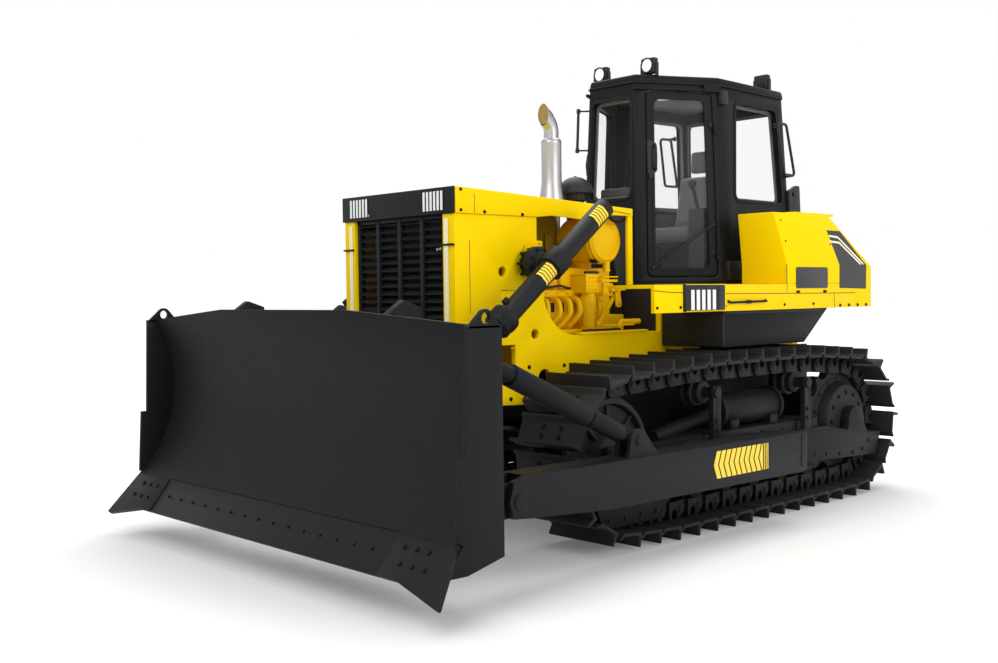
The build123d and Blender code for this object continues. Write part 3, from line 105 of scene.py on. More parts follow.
@dataclass(frozen=True)
class Finish:
    """A surface finish: a colour with slow patches in it, uneven gloss and a fine grain."""

    name: str
    slot: str
    shade: tuple[int, int, int]  # red, green and blue on the 0 to 255 display scale
    rough: float
    metal: float = 0.0
    mottle: float = 0.08
    patch: float = 3.0
    rough_swing: float = 0.06
    grain: float = 600.0
    bump: float = 0.06
    stretch: Triple = (1.0, 1.0, 1.0)
    glow: float = 0.0
    alpha: float = 1.0
    sheen: float = 0.0
    specular: float = 0.5

    def material(self) -> bpy.types.Material:
        """Return the finish as a material, made on first use."""
        found = bpy.data.materials.get(self.name)
        return found if found else self._make()

    def _make(self) -> bpy.types.Material:
        """Build the node tree."""
        made = bpy.data.materials.new(self.name)
        made.use_nodes = True
        tree = made.node_tree
        shader = tree.nodes["Principled BSDF"]
        places = tree.nodes.new("ShaderNodeTexCoord")
        mapping = tree.nodes.new("ShaderNodeMapping")
        mapping.inputs["Scale"].default_value = self.stretch
        tree.links.new(places.outputs["Object"], mapping.inputs["Vector"])
        patches = self._noise(tree, mapping, self.patch, 4.0)
        colours = tree.nodes.new("ShaderNodeMix")
        colours.data_type = "RGBA"
        colour = linear(*self.shade)
        for socket, share in zip(MIX_COLOURS, (1 - self.mottle, 1 + self.mottle)):
            colours.inputs[socket].default_value = (*[min(c * share, 1.0) for c in colour], 1.0)
        tree.links.new(patches.outputs["Fac"], colours.inputs["Factor"])
        tree.links.new(colours.outputs[MIX_RESULT], shader.inputs["Base Color"])
        gloss = tree.nodes.new("ShaderNodeMapRange")
        gloss.inputs["To Min"].default_value = self.rough - self.rough_swing
        gloss.inputs["To Max"].default_value = self.rough + self.rough_swing
        smears = self._noise(tree, mapping, self.patch * 7, 3.0)
        tree.links.new(smears.outputs["Fac"], gloss.inputs["Value"])
        tree.links.new(gloss.outputs["Result"], shader.inputs["Roughness"])
        grain = self._noise(tree, mapping, self.grain, 2.0)
        bump = tree.nodes.new("ShaderNodeBump")
        bump.inputs["Strength"].default_value = self.bump
        bump.inputs["Distance"].default_value = 0.001
        tree.links.new(grain.outputs["Fac"], bump.inputs["Height"])
        tree.links.new(bump.outputs["Normal"], shader.inputs["Normal"])
        for socket, value in (("Metallic", self.metal), ("Sheen Weight", self.sheen), ("Alpha", self.alpha),
                              ("Specular IOR Level", self.specular)):
            shader.inputs[socket].default_value = value
        if self.glow:
            shader.inputs["Emission Color"].default_value = (*colour, 1.0)
            shader.inputs["Emission Strength"].default_value = self.glow
        self._extra(tree, shader, mapping)
        return made

    def _noise(self, tree: bpy.types.NodeTree, mapping: bpy.types.Node, scale: float,
               detail: float) -> bpy.types.Node:
        """Add a noise of this many features per metre to the tree."""
        noise = tree.nodes.new("ShaderNodeTexNoise")
        noise.inputs["Scale"].default_value = scale
        noise.inputs["Detail"].default_value = detail
        tree.links.new(mapping.outputs["Vector"], noise.inputs["Vector"])
        return noise

    def _extra(self, tree: bpy.types.NodeTree, shader: bpy.types.Node, mapping: bpy.types.Node) -> None:
        """Hook for finishes with more to them than patches and grain."""


@dataclass(frozen=True)
class WovenCloth(Finish):
    """Seat cloth: warp and weft threads over the patches."""

    threads: float = 260.0

    def _extra(self, tree: bpy.types.NodeTree, shader: bpy.types.Node, mapping: bpy.types.Node) -> None:
        """Replace the grain's bump with a weave."""
        heights = []
        for direction in ("X", "Z"):
            wave = tree.nodes.new("ShaderNodeTexWave")
            wave.bands_direction = direction
            wave.inputs["Scale"].default_value = self.threads / 6.28
            wave.inputs["Distortion"].default_value = 0.6
            tree.links.new(mapping.outputs["Vector"], wave.inputs["Vector"])
            heights.append(wave.outputs["Fac"])
        weave = tree.nodes.new("ShaderNodeMath")
        weave.operation = "MAXIMUM"
        for socket, height in zip(weave.inputs, heights):
            tree.links.new(height, socket)
        bump = next(node for node in tree.nodes if node.type == "BUMP")
        bump.inputs["Strength"].default_value = 0.35
        tree.links.new(weave.outputs["Value"], bump.inputs["Height"])


YELLOW = Finish("yellow_gloss_paint", "yellow_paint", (255, 213, 0), 0.4, mottle=0.03, bump=0.03,
                specular=0.05)
BLACK = Finish("charcoal_satin_paint", "black_paint", (31, 32, 35), 0.46, mottle=0.1, bump=0.05, specular=0.1)
BLADE_BLACK = Finish("blade_satin_paint", "black_paint", (27, 29, 31), 0.5, mottle=0.09, patch=1.6, bump=0.05,
                     specular=0.08)
CAB_BLACK = Finish("cab_charcoal_paint", "black_paint", (26, 28, 30), 0.42, mottle=0.06, bump=0.04,
                   specular=0.08)
TRACK = Finish("track_dark_steel", "track_steel", (33, 33, 35), 0.6, mottle=0.22, patch=9, bump=0.2, grain=260,
               specular=0.2)
EDGE = Finish("edge_dark_steel", "edge_steel", (29, 31, 33), 0.5, mottle=0.14, patch=6, bump=0.12, specular=0.1)
BRIGHT = Finish("brushed_stainless", "bright_steel", (168, 166, 166), 0.34, metal=1.0, mottle=0.05, patch=22,
                grain=500, bump=0.05, stretch=(1, 1, 0.06))
BOLT = Finish("dark_fastener", "black_paint", (24, 24, 26), 0.45, mottle=0.1, patch=20, specular=0.12)
CHROME = Finish("hard_chrome", "rod_chrome", (170, 172, 176), 0.2, metal=1.0, mottle=0.02, rough_swing=0.03,
                bump=0.01)
PLASTIC = Finish("grained_black_plastic", "cab_plastic", (33, 34, 36), 0.5, mottle=0.07, grain=900, bump=0.15,
                 specular=0.25)
CONSOLE_GREY = Finish("moulded_dark_trim", "cab_plastic", (62, 62, 64), 0.6, mottle=0.07, grain=900, bump=0.2)
RUBBER = Finish("window_rubber", "cab_plastic", (24, 25, 27), 0.7, mottle=0.08, grain=400, bump=0.1,
                specular=0.2)
FRAME_GREY = Finish("window_frame_grey", "cab_plastic", (96, 97, 99), 0.5, mottle=0.06)
SEAT_CLOTH = WovenCloth("woven_seat_cloth", "seat_cloth", (132, 132, 134), 0.85, mottle=0.1, patch=14,
                        sheen=0.3)
GLASS = Finish("clear_safety_glass", "window_glass", (120, 124, 126), 0.05, mottle=0.03, bump=0.0, alpha=0.02)
DOOR_GLASS = Finish("tinted_door_glass", "window_glass", (88, 90, 92), 0.05, mottle=0.03, bump=0.0, alpha=0.07)
LENS = Finish("lamp_lens", "window_glass", (240, 242, 244), 0.16, mottle=0.04, patch=60, glow=0.35)
LAMP_BLACK = Finish("lamp_housing", "lamp_black", (32, 33, 35), 0.48, mottle=0.08, grain=700, bump=0.12,
                    specular=0.25)
WHITE_MARK = Finish("white_marking", "cab_plastic", (244, 244, 242), 0.4, mottle=0.02)
# Cream for the real markings, and also for the painted highlights on the radiator guard's columns.
CREAM_MARK_AND_HIGHLIGHT = Finish("cream_marking_and_painted_highlight", "cab_plastic", (250, 244, 205), 0.4, mottle=0.03)
YELLOW_MARK = Finish("yellow_marking", "yellow_paint", (252, 214, 52), 0.38, mottle=0.05, patch=14)
GREY_MARK = Finish("dark_grey_marking", "black_paint", (58, 57, 58), 0.42, mottle=0.05, specular=0.25)
SEAM = Finish("panel_gap", "black_paint", (120, 92, 6), 0.7, mottle=0.1, patch=20)
# Near-black for dark gaps and lines, and also as painted shade on the plate behind the engine's bay.
DARK_SEAM_AND_SHADE = Finish("dark_gap_and_painted_shade", "black_paint", (16, 16, 18), 0.7, mottle=0.1, patch=20)
PIPE_TAN = Finish("exhaust_tip_tan", "bright_steel", (150, 130, 66), 0.6, metal=0.2, mottle=0.3, patch=14)
CORE = Finish("radiator_core_black", "black_paint", (24, 24, 26), 0.6, mottle=0.2, patch=30, grain=300,
              bump=0.3)
# The engine's yellow paint, made darker than YELLOW: painted shade for the parts under the hood.
SHADE_YELLOW = Finish("engine_yellow_paint_and_painted_shade", "yellow_paint", (248, 196, 0), 0.45, mottle=0.1, patch=8,
                      bump=0.08, specular=0.15)
# Painted shade: a darkened copy of the yellow paint, for the shaded top of the engine's bay.
PAINTED_SHADE_YELLOW = Finish("bay_shaded_yellow", "yellow_paint", (128, 104, 12), 0.6, mottle=0.15, patch=6,
                     specular=0.1)


# ---- outlines and placing
def aim(axis: Triple) -> Matrix:
    """Return the turn that takes Z to an axis."""
    return Vector(axis).to_track_quat("Z", "Y").to_matrix().to_4x4()


def sides(loop: Sequence) -> list[tuple]:
    """Return the pairs of points that the sides of a closed loop join."""
    return list(zip(loop, (*loop[1:], loop[0])))


def corners_of(outline: Sequence[Pair]) -> Iterable[tuple[Pair, Pair, Pair]]:
    """Return each corner of an outline between the one before it and the one after it."""
    return zip((outline[-1], *outline[:-1]), outline, (*outline[1:], outline[0]))


def put(place: Matrix, points: Iterable[Triple]) -> list[Vector]:
    """Return points given in a place's own frame as points of the machine."""
    return [place @ Vector(point) for point in points]


def both_ends(half: Sequence[Pair]) -> list[Pair]:
    """Return a wheel's profile from its half on the far end, with the radii repeated on the near end."""
    return [*((radius, -height) for radius, height in half), *reversed(half)]


def thicken(shape: bmesh.types.BMesh, by: Triple) -> list[bmesh.types.BMVert]:
    """Give an open sheet a thickness by drawing a copy of it out, and return the copy's corners."""
    grown = bmesh.ops.extrude_face_region(shape, geom=list(shape.faces))["geom"]
    corners = [part for part in grown if isinstance(part, bmesh.types.BMVert)]
    bmesh.ops.translate(shape, vec=by, verts=corners)
    return corners


def soften(shape: bmesh.types.BMesh, width: float, steps: int = 2, fold: float = 30.0) -> None:
    """Round the folded edges of a shape that is still on its own.

    Args:
        shape: the shape.
        width: how far the rounding reaches from each edge.
        steps: faces across the rounding.
        fold: the least angle, in degrees, that counts as a fold.
    """
    if width <= 0:
        return
    folds = [e for e in shape.edges if len(e.link_faces) == 2 and e.calc_face_angle(0) > math.radians(fold)]
    bmesh.ops.bevel(shape, geom=folds, offset=width, offset_type="OFFSET", segments=steps, profile=0.5,
                    affect="EDGES", clamp_overlap=True, material=-1)


def rounded_outline(corners: Sequence[Pair], radius: float, steps: int = 5) -> list[Pair]:
    """Return a closed outline with every corner turned on an arc.

    Args:
        corners: the outline's corners in order.
        radius: radius of the arcs, made less where a side is short.
        steps: points on each arc less one.

    Returns:
        The points of the rounded outline.
    """
    points = []
    for before, corner, after in corners_of(corners):
        middle = Vector(corner)
        back, ahead = Vector(before) - middle, Vector(after) - middle
        half = back.angle(ahead) / 2
        reach = min(radius / math.tan(half), back.length * 0.45, ahead.length * 0.45)
        bend = reach * math.tan(half)
        centre = middle + (back.normalized() + ahead.normalized()).normalized() * (bend / math.sin(half))
        start = middle + back.normalized() * reach - centre
        sweep = start.angle_signed(middle + ahead.normalized() * reach - centre)
        for step in range(steps + 1):
            spoke = start.copy()
            spoke.rotate(Matrix.Rotation(-sweep * step / steps, 2))
            points.append(tuple(centre + spoke))
    return points


def circle(x: float, y: float, radius: float, count: int = 24) -> list[Pair]:
    """Return points round a circle."""
    turns = [2 * math.pi * i / count for i in range(count)]
    return [(x + radius * math.cos(turn), y + radius * math.sin(turn)) for turn in turns]


def arc(x: float, y: float, radius: float, start: float, end: float, steps: int = 12) -> list[Pair]:
    """Return points on an arc from one angle to another, in degrees."""
    turns = [math.radians(start + (end - start) * i / steps) for i in range(steps + 1)]
    return [(x + radius * math.cos(turn), y + radius * math.sin(turn)) for turn in turns]


def rectangle(left: float, foot: float, right: float, head: float) -> list[Pair]:
    """Return the four corners of a rectangle."""
    return [(left, foot), (right, foot), (right, head), (left, head)]


def grow(corners: Sequence[Pair], reach: float) -> list[Pair]:
    """Move every side of a convex outline, given anticlockwise, outwards by a reach."""
    moved = []
    for before, corner, after in corners_of(corners):
        came, goes = ((Vector(b) - Vector(a)).normalized() for a, b in ((before, corner), (corner, after)))
        outward = Vector((came.y + goes.y, -came.x - goes.x)).normalized()
        moved.append(tuple(Vector(corner) + outward * (reach / outward.dot(Vector((goes.y, -goes.x))))))
    return moved


def strip(start: Pair, end: Pair, wide: float) -> list[Pair]:
    """Return the outline of a straight strip between two points."""
    a, b = Vector(start), Vector(end)
    side = (b - a).normalized().orthogonal() * (wide / 2)
    return [tuple(a + side), tuple(b + side), tuple(b - side), tuple(a - side)]


def bolt_circle(centre: Triple, radius: float, count: int, turn: float = 0.0) -> list[Vector]:
    """Return places evenly spaced on a circle that faces left."""
    angles = [turn + 2 * math.pi * i / count for i in range(count)]
    place = Matrix.Translation(centre) @ aim(LEFT)
    return put(place, [(radius * math.cos(angle), radius * math.sin(angle), 0) for angle in angles])


# ---- pieces
BEND_STEPS = 6  # points along a bend of a pipe, less one
SHARP = math.radians(32)  # folds over this angle stay sharp in the shading


class Piece:
    """One visible piece, gathered shape by shape and then finished as an object."""

    def __init__(self, name: str) -> None:
        """Start an empty piece under its final name."""
        self.name = name
        self.mesh = bmesh.new()

    @classmethod
    def from_node(cls, node: str, soft: float = 0.005, name: str = "", steps: int = 2) -> "Piece":
        """Start from a CAD node's shape, with its folded edges rounded.

        Args:
            node: the CAD node.
            soft: width of the rounding.
            name: the piece's name, where it isn't the node's with an ending.
            steps: faces across each rounding.

        Returns:
            The piece, with the node's shape in it.
        """
        piece = cls(name or f"{node}_body")
        piece.mesh.from_mesh(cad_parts[node].data)
        bmesh.ops.translate(piece.mesh, vec=(-AXLE_X, 0, 0), verts=piece.mesh.verts)
        bmesh.ops.remove_doubles(piece.mesh, verts=piece.mesh.verts, dist=1e-5)
        bmesh.ops.dissolve_limit(piece.mesh, angle_limit=math.radians(1.0), verts=piece.mesh.verts,
                                 edges=piece.mesh.edges)
        soften(piece.mesh, soft, steps)
        return piece

    def absorb(self, shape: bmesh.types.BMesh, places: Iterable[Matrix] = (Matrix(),)) -> "Piece":
        """Add a shape at each of some places, and free it."""
        scratch = bpy.data.meshes.new("scratch")
        shape.to_mesh(scratch)
        shape.free()
        for place in places:
            copy = scratch.copy()
            copy.transform(place)
            self.mesh.from_mesh(copy)
            bpy.data.meshes.remove(copy)
        bpy.data.meshes.remove(scratch)
        return self

    def block(self, low: Triple, high: Triple, soft: float = 0.004, place: Matrix = Matrix()) -> "Piece":
        """Add a box between two corners with rounded edges."""
        shape, low, high = bmesh.new(), Vector(low), Vector(high)
        bmesh.ops.create_cube(shape, size=1.0)
        bmesh.ops.scale(shape, vec=high - low, verts=shape.verts)
        bmesh.ops.translate(shape, vec=(low + high) / 2, verts=shape.verts)
        soften(shape, soft)
        return self.absorb(shape, (place,))

    def blocks(self, rows: Iterable[tuple[Triple, Triple, float]]) -> "Piece":
        """Add boxes from rows of two corners and the rounding of the edges."""
        for low, high, soft in rows:
            self.block(low, high, soft)
        return self

    def bar(self, start: Triple, end: Triple, radius: float, end_radius: float | None = None, sides: int = 24,
            soft: float = 0.003, places: Iterable[Matrix] = (Matrix(),)) -> "Piece":
        """Add a round bar or a cone between two points."""
        shape = bmesh.new()
        start, end = Vector(start), Vector(end)
        run = end - start
        bmesh.ops.create_cone(shape, cap_ends=True, cap_tris=False, segments=sides, radius1=radius,
                              radius2=radius if end_radius is None else end_radius, depth=run.length)
        soften(shape, soft, fold=50)
        turn = Matrix.Translation((start + end) / 2) @ aim(run)
        return self.absorb(shape, [place @ turn for place in places])

    def lathe(self, origin: Triple, axis: Triple, profile: Sequence[Pair], sides: int = 32,
              closed: bool = False) -> "Piece":
        """Turn a profile about an axis.

        Args:
            origin: the point on the axis that heights count from.
            axis: the direction of the axis.
            profile: (radius, height) points.
            sides: faces around.
            closed: the profile is a ring that doesn't reach the axis.

        Returns:
            The piece.
        """
        shape = bmesh.new()
        points = [shape.verts.new((radius, 0, height)) for radius, height in profile]
        runs = [shape.edges.new(pair) for pair in zip(points, points[1:])]
        if closed:
            runs.append(shape.edges.new((points[-1], points[0])))
        bmesh.ops.spin(shape, geom=points + runs, cent=(0, 0, 0), axis=UP, angle=2 * math.pi, steps=sides,
                       use_merge=True)
        bmesh.ops.remove_doubles(shape, verts=shape.verts, dist=MERGE)
        return self.absorb(shape, (Matrix.Translation(origin) @ aim(axis),))

    def plate(self, facing: Facing, outline: Sequence[Pair], start: float, end: float, soft: float = 0.004,
              places: Iterable[Matrix] = (Matrix(),), holes: Iterable[Sequence[Pair]] = ()) -> "Piece":
        """Add a plate: a flat outline, with or without holes, given a thickness from start to end."""
        shape = bmesh.new()
        loops = [[shape.verts.new(facing.place(a, b, start)) for a, b in loop] for loop in (outline, *holes)]
        if len(loops) == 1:
            shape.faces.new(loops[0])
        else:
            edges = [shape.edges.new(pair) for loop in loops for pair in sides(loop)]
            bmesh.ops.triangle_fill(shape, use_beauty=True, use_dissolve=False, edges=edges)
        thicken(shape, facing.place(0, 0, end - start))
        soften(shape, soft)
        return self.absorb(shape, places)

    def ring(self, outer: Sequence[Pair], inner: Sequence[Pair], depth: float, place: Matrix,
             soft: float = 0.002) -> "Piece":
        """Add a flat ring between two outlines with as many points, on the XY plane of a place."""
        shape = bmesh.new()
        loops = [[shape.verts.new((a, b, 0)) for a, b in outline] for outline in (outer, inner)]
        bmesh.ops.bridge_loops(shape, edges=[shape.edges.new(pair) for loop in loops for pair in sides(loop)])
        thicken(shape, (0, 0, depth))
        soften(shape, soft, steps=1)
        return self.absorb(shape, (place,))

    def pipe(self, points: Sequence[Triple], radius: float, bend: float = 0.04, closed: bool = False,
             places: Iterable[Matrix] = (Matrix(),)) -> "Piece":
        """Add a rigid round bar bent through points, each bend on an arc.

        Args:
            points: the corners of its middle line.
            radius: radius of the bar.
            bend: radius of the bends.
            closed: the bar is a loop.
            places: where it goes.

        Returns:
            The piece.
        """
        corners = [Vector(point) for point in points]
        line = [] if closed else [corners[0]]
        inner = range(len(corners)) if closed else range(1, len(corners) - 1)
        for i in inner:
            middle, back = corners[i], corners[i - 1] - corners[i]
            ahead = corners[(i + 1) % len(corners)] - middle
            half = back.angle(ahead) / 2
            reach = min(bend / math.tan(half), back.length * 0.45, ahead.length * 0.45)
            start, end = middle + back.normalized() * reach, middle + ahead.normalized() * reach
            for step in range(BEND_STEPS + 1):
                share = step / BEND_STEPS
                line.append(start.lerp(middle, share).lerp(middle.lerp(end, share), share))
        if not closed:
            line.append(corners[-1])
        curve = bpy.data.curves.new("scratch", "CURVE")
        curve.dimensions = "3D"
        curve.bevel_depth = radius
        curve.bevel_resolution = 2
        curve.use_fill_caps = True
        spline = curve.splines.new("POLY")
        spline.points.add(len(line) - 1)
        for knot, point in zip(spline.points, line):
            knot.co = (*point, 1)
        spline.use_cyclic_u = closed
        holder = bpy.data.objects.new("scratch", curve)
        bent = bpy.data.meshes.new_from_object(holder)
        shape = bmesh.new()
        shape.from_mesh(bent)
        bmesh.ops.remove_doubles(shape, verts=shape.verts, dist=MERGE)
        bpy.data.objects.remove(holder)
        bpy.data.curves.remove(curve)
        bpy.data.meshes.remove(bent)
        return self.absorb(shape, places)

    def bolts(self, spots: Iterable[Triple], radius: float = 0.012, height: float = 0.009,
              outward: Triple = LEFT) -> "Piece":
        """Add a hexagon head on a washer at each spot, standing outward."""
        shape = bmesh.new()
        for sides, wide, foot, top in ((16, 1.35, -0.003, 0.25), (6, 1.0, 0.25, 1.0)):
            low, high = (foot if foot < 0 else foot * height), top * height
            bmesh.ops.create_cone(shape, cap_ends=True, cap_tris=False, segments=sides, radius1=radius * wide,
                                  radius2=radius * wide, depth=high - low,
                                  matrix=Matrix.Translation((0, 0, (low + high) / 2)))
        return self.absorb(shape, [Matrix.Translation(spot) @ aim(outward) for spot in spots])

    def both_sides(self) -> "Piece":
        """Add the mirror image about the machine's middle plane."""
        return self.absorb(self.mesh.copy(), (MIRROR,))

    def finish(self, finish: Finish, body: Body = Body.TRACTOR, replaces: Sequence[str] = (),
               mirrored: bool = False) -> bpy.types.Object:
        """Turn the piece into an object that rides a body.

        Args:
            finish: its surface.
            body: the body that it moves with.
            replaces: CAD nodes that it stands for.
            mirrored: build its mirror image.

        Returns:
            The finished object.
        """
        if mirrored:
            bmesh.ops.transform(self.mesh, matrix=MIRROR, verts=self.mesh.verts)
        bmesh.ops.translate(self.mesh, vec=(AXLE_X, 0, 0), verts=self.mesh.verts)
        bmesh.ops.recalc_face_normals(self.mesh, faces=self.mesh.faces)
        data = bpy.data.meshes.new(self.name)
        self.mesh.to_mesh(data)
        self.mesh.free()
        data.shade_smooth()
        data.set_sharp_from_angle(angle=SHARP)
        data.materials.append(finish.material())
        made = bpy.data.objects.new(self.name, data)
        bpy.context.scene.collection.objects.link(made)
        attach(made, body.value)
        if replaces:
            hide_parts(*replaces)
        LOG.info("%s: %d faces on %s", self.name, len(data.polygons), body.value)
        return made


def dress(node: str, finish: Finish) -> None:
    """Give a CAD node that stays its finish."""
    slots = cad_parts[node].data.materials
    slots.clear()
    slots.append(finish.material())


def recast(node: str, finish: Finish, body: Body = Body.TRACTOR, soft: float = 0.005, steps: int = 2) -> None:
    """Stand a softened copy in for a CAD node."""
    Piece.from_node(node, soft, steps=steps).finish(finish, body, (node,))


# ---- studio
@dataclass
class Studio:
    """Camera, soft lights, and a pale floor that keeps the machine's shadow."""

    eye: Triple = (8.4545, 6.0222, 1.6715)  # from the sprocket axle
    heading: float = 226.935  # degrees, from ahead towards the left
    pitch: float = -1.914
    roll: float = -0.728
    lens: float = 41.216
    sensor: float = 36.0
    floor_half: float = 60.0
    floor_drop: float = 0.001
    ambient: float = 0.62
    # floor's own light: from and to, in metres out and in strength
    glow: tuple[float, ...] = (3.0, 9.0, 0.1, 0.7)
    # lamps' names, places and aims from the sprocket axle, sizes and watts
    lamps: tuple[tuple[str, Triple, Triple, float, float], ...] = (
        ("overhead_lamp", (-1.0, -2.5, 9.5), (0.6, 0.0, 0.8), 9.0, 820.0),
        ("front_lamp", (9.0, 2.0, 6.5), (1.5, 0.0, 1.2), 6.0, 250.0),
        ("side_lamp", (2.0, 10.5, 5.0), (1.0, 0.0, 1.3), 7.0, 420.0),
    )

    def build(self) -> None:
        """Make the camera, the lights, the floor and the sky."""
        self._camera()
        self._lights()
        self._floor()
        self._sky()
        bpy.context.scene.view_settings.view_transform = "Standard"

    def _camera(self) -> None:
        """Place the camera from its heading, pitch and roll."""
        heading, pitch, roll = (math.radians(angle) for angle in (self.heading, self.pitch, self.roll))
        flat = math.cos(pitch)
        ahead = Vector((math.cos(heading) * flat, math.sin(heading) * flat, math.sin(pitch)))
        level = ahead.cross(Vector(UP)).normalized()
        upright = level.cross(ahead)
        right = level * math.cos(roll) + upright * math.sin(roll)
        up = upright * math.cos(roll) - level * math.sin(roll)
        lens = bpy.data.cameras.new("camera")
        lens.lens, lens.sensor_width = self.lens, self.sensor
        lens.clip_end = 300
        camera = bpy.data.objects.new("camera", lens)
        turn = Matrix((right, up, -ahead)).transposed().to_4x4()
        camera.matrix_world = Matrix.Translation((AXLE_X + self.eye[0], *self.eye[1:])) @ turn
        bpy.context.scene.collection.objects.link(camera)
        bpy.context.scene.camera = camera

    def _lights(self) -> None:
        """Hang large soft lamps: over and behind the machine, and beside the camera."""
        for name, place, target, size, power in self.lamps:
            lamp = bpy.data.lights.new(name, "AREA")
            lamp.size, lamp.energy = size, power
            holder = bpy.data.objects.new(name, lamp)
            start, end = (Vector((AXLE_X + x, y, z)) for x, y, z in (place, target))
            turn = (end - start).to_track_quat("-Z", "Y").to_matrix().to_4x4()
            holder.matrix_world = Matrix.Translation(start) @ turn
            bpy.context.scene.collection.objects.link(holder)

    def _floor(self) -> None:
        """Lay a white floor whose own light reads white to the camera and in reflections."""
        shape = bmesh.new()
        bmesh.ops.create_grid(shape, x_segments=1, y_segments=1, size=self.floor_half)
        bmesh.ops.translate(shape, vec=(0, 0, -self.floor_drop), verts=shape.verts)
        data = bpy.data.meshes.new("floor")
        shape.to_mesh(data)
        shape.free()
        floor = bpy.data.objects.new("floor", data)
        bpy.context.scene.collection.objects.link(floor)
        made = bpy.data.materials.new("pale_floor")
        made.use_nodes = True
        tree = made.node_tree
        shader = tree.nodes["Principled BSDF"]
        shader.inputs["Base Color"].default_value = (0.8, 0.8, 0.8, 1)
        shader.inputs["Roughness"].default_value = 0.9
        shader.inputs["Specular IOR Level"].default_value = 0.0
        glow = tree.nodes.new("ShaderNodeEmission")
        places = tree.nodes.new("ShaderNodeTexCoord")
        reach = tree.nodes.new("ShaderNodeVectorMath")
        reach.operation = "LENGTH"
        tree.links.new(places.outputs["Object"], reach.inputs[0])
        rise = tree.nodes.new("ShaderNodeMapRange")
        for socket, value in zip(("From Min", "From Max", "To Min", "To Max"), self.glow):
            rise.inputs[socket].default_value = value
        tree.links.new(reach.outputs["Value"], rise.inputs["Value"])
        strength = tree.nodes.new("ShaderNodeMath")
        strength.operation = "MULTIPLY"
        tree.links.new(self._seen(tree, 1.0, 0.0), strength.inputs[0])
        tree.links.new(rise.outputs["Result"], strength.inputs[1])
        tree.links.new(strength.outputs["Value"], glow.inputs["Strength"])
        total = tree.nodes.new("ShaderNodeAddShader")
        tree.links.new(shader.outputs["BSDF"], total.inputs[0])
        tree.links.new(glow.outputs["Emission"], total.inputs[1])
        tree.links.new(total.outputs["Shader"], tree.nodes["Material Output"].inputs["Surface"])
        data.materials.append(made)

    def _sky(self) -> None:
        """Light the machine evenly all round, and show white behind it."""
        world = bpy.data.worlds.new("sky")
        bpy.context.scene.world = world
        world.use_nodes = True
        tree = world.node_tree
        sky = tree.nodes["Background"]
        sky.inputs["Color"].default_value = (1, 1, 1, 1)
        tree.links.new(self._seen(tree, 1.0, self.ambient), sky.inputs["Strength"])

    def _seen(self, tree: bpy.types.NodeTree, seen: float, unseen: float) -> bpy.types.NodeSocket:
        """Return a strength for camera, glossy and transmitted rays, and another for the rest."""
        path = tree.nodes.new("ShaderNodeLightPath")
        total = path.outputs["Is Camera Ray"]
        for name in ("Is Glossy Ray", "Is Transmission Ray"):
            either = tree.nodes.new("ShaderNodeMath")
            either.operation = "MAXIMUM"
            tree.links.new(total, either.inputs[0])
            tree.links.new(path.outputs[name], either.inputs[1])
            total = either.outputs["Value"]
        strength = tree.nodes.new("ShaderNodeMapRange")
        strength.inputs["To Min"].default_value = unseen
        strength.inputs["To Max"].default_value = seen
        tree.links.new(total, strength.inputs["Value"])
        return strength.outputs["Result"]


# ---- running gear
@dataclass(frozen=True)
class Wheel:
    """A wheel that the chain's pitch line runs round."""

    x: float
    z: float
    reach: float  # radius of the pitch line round it


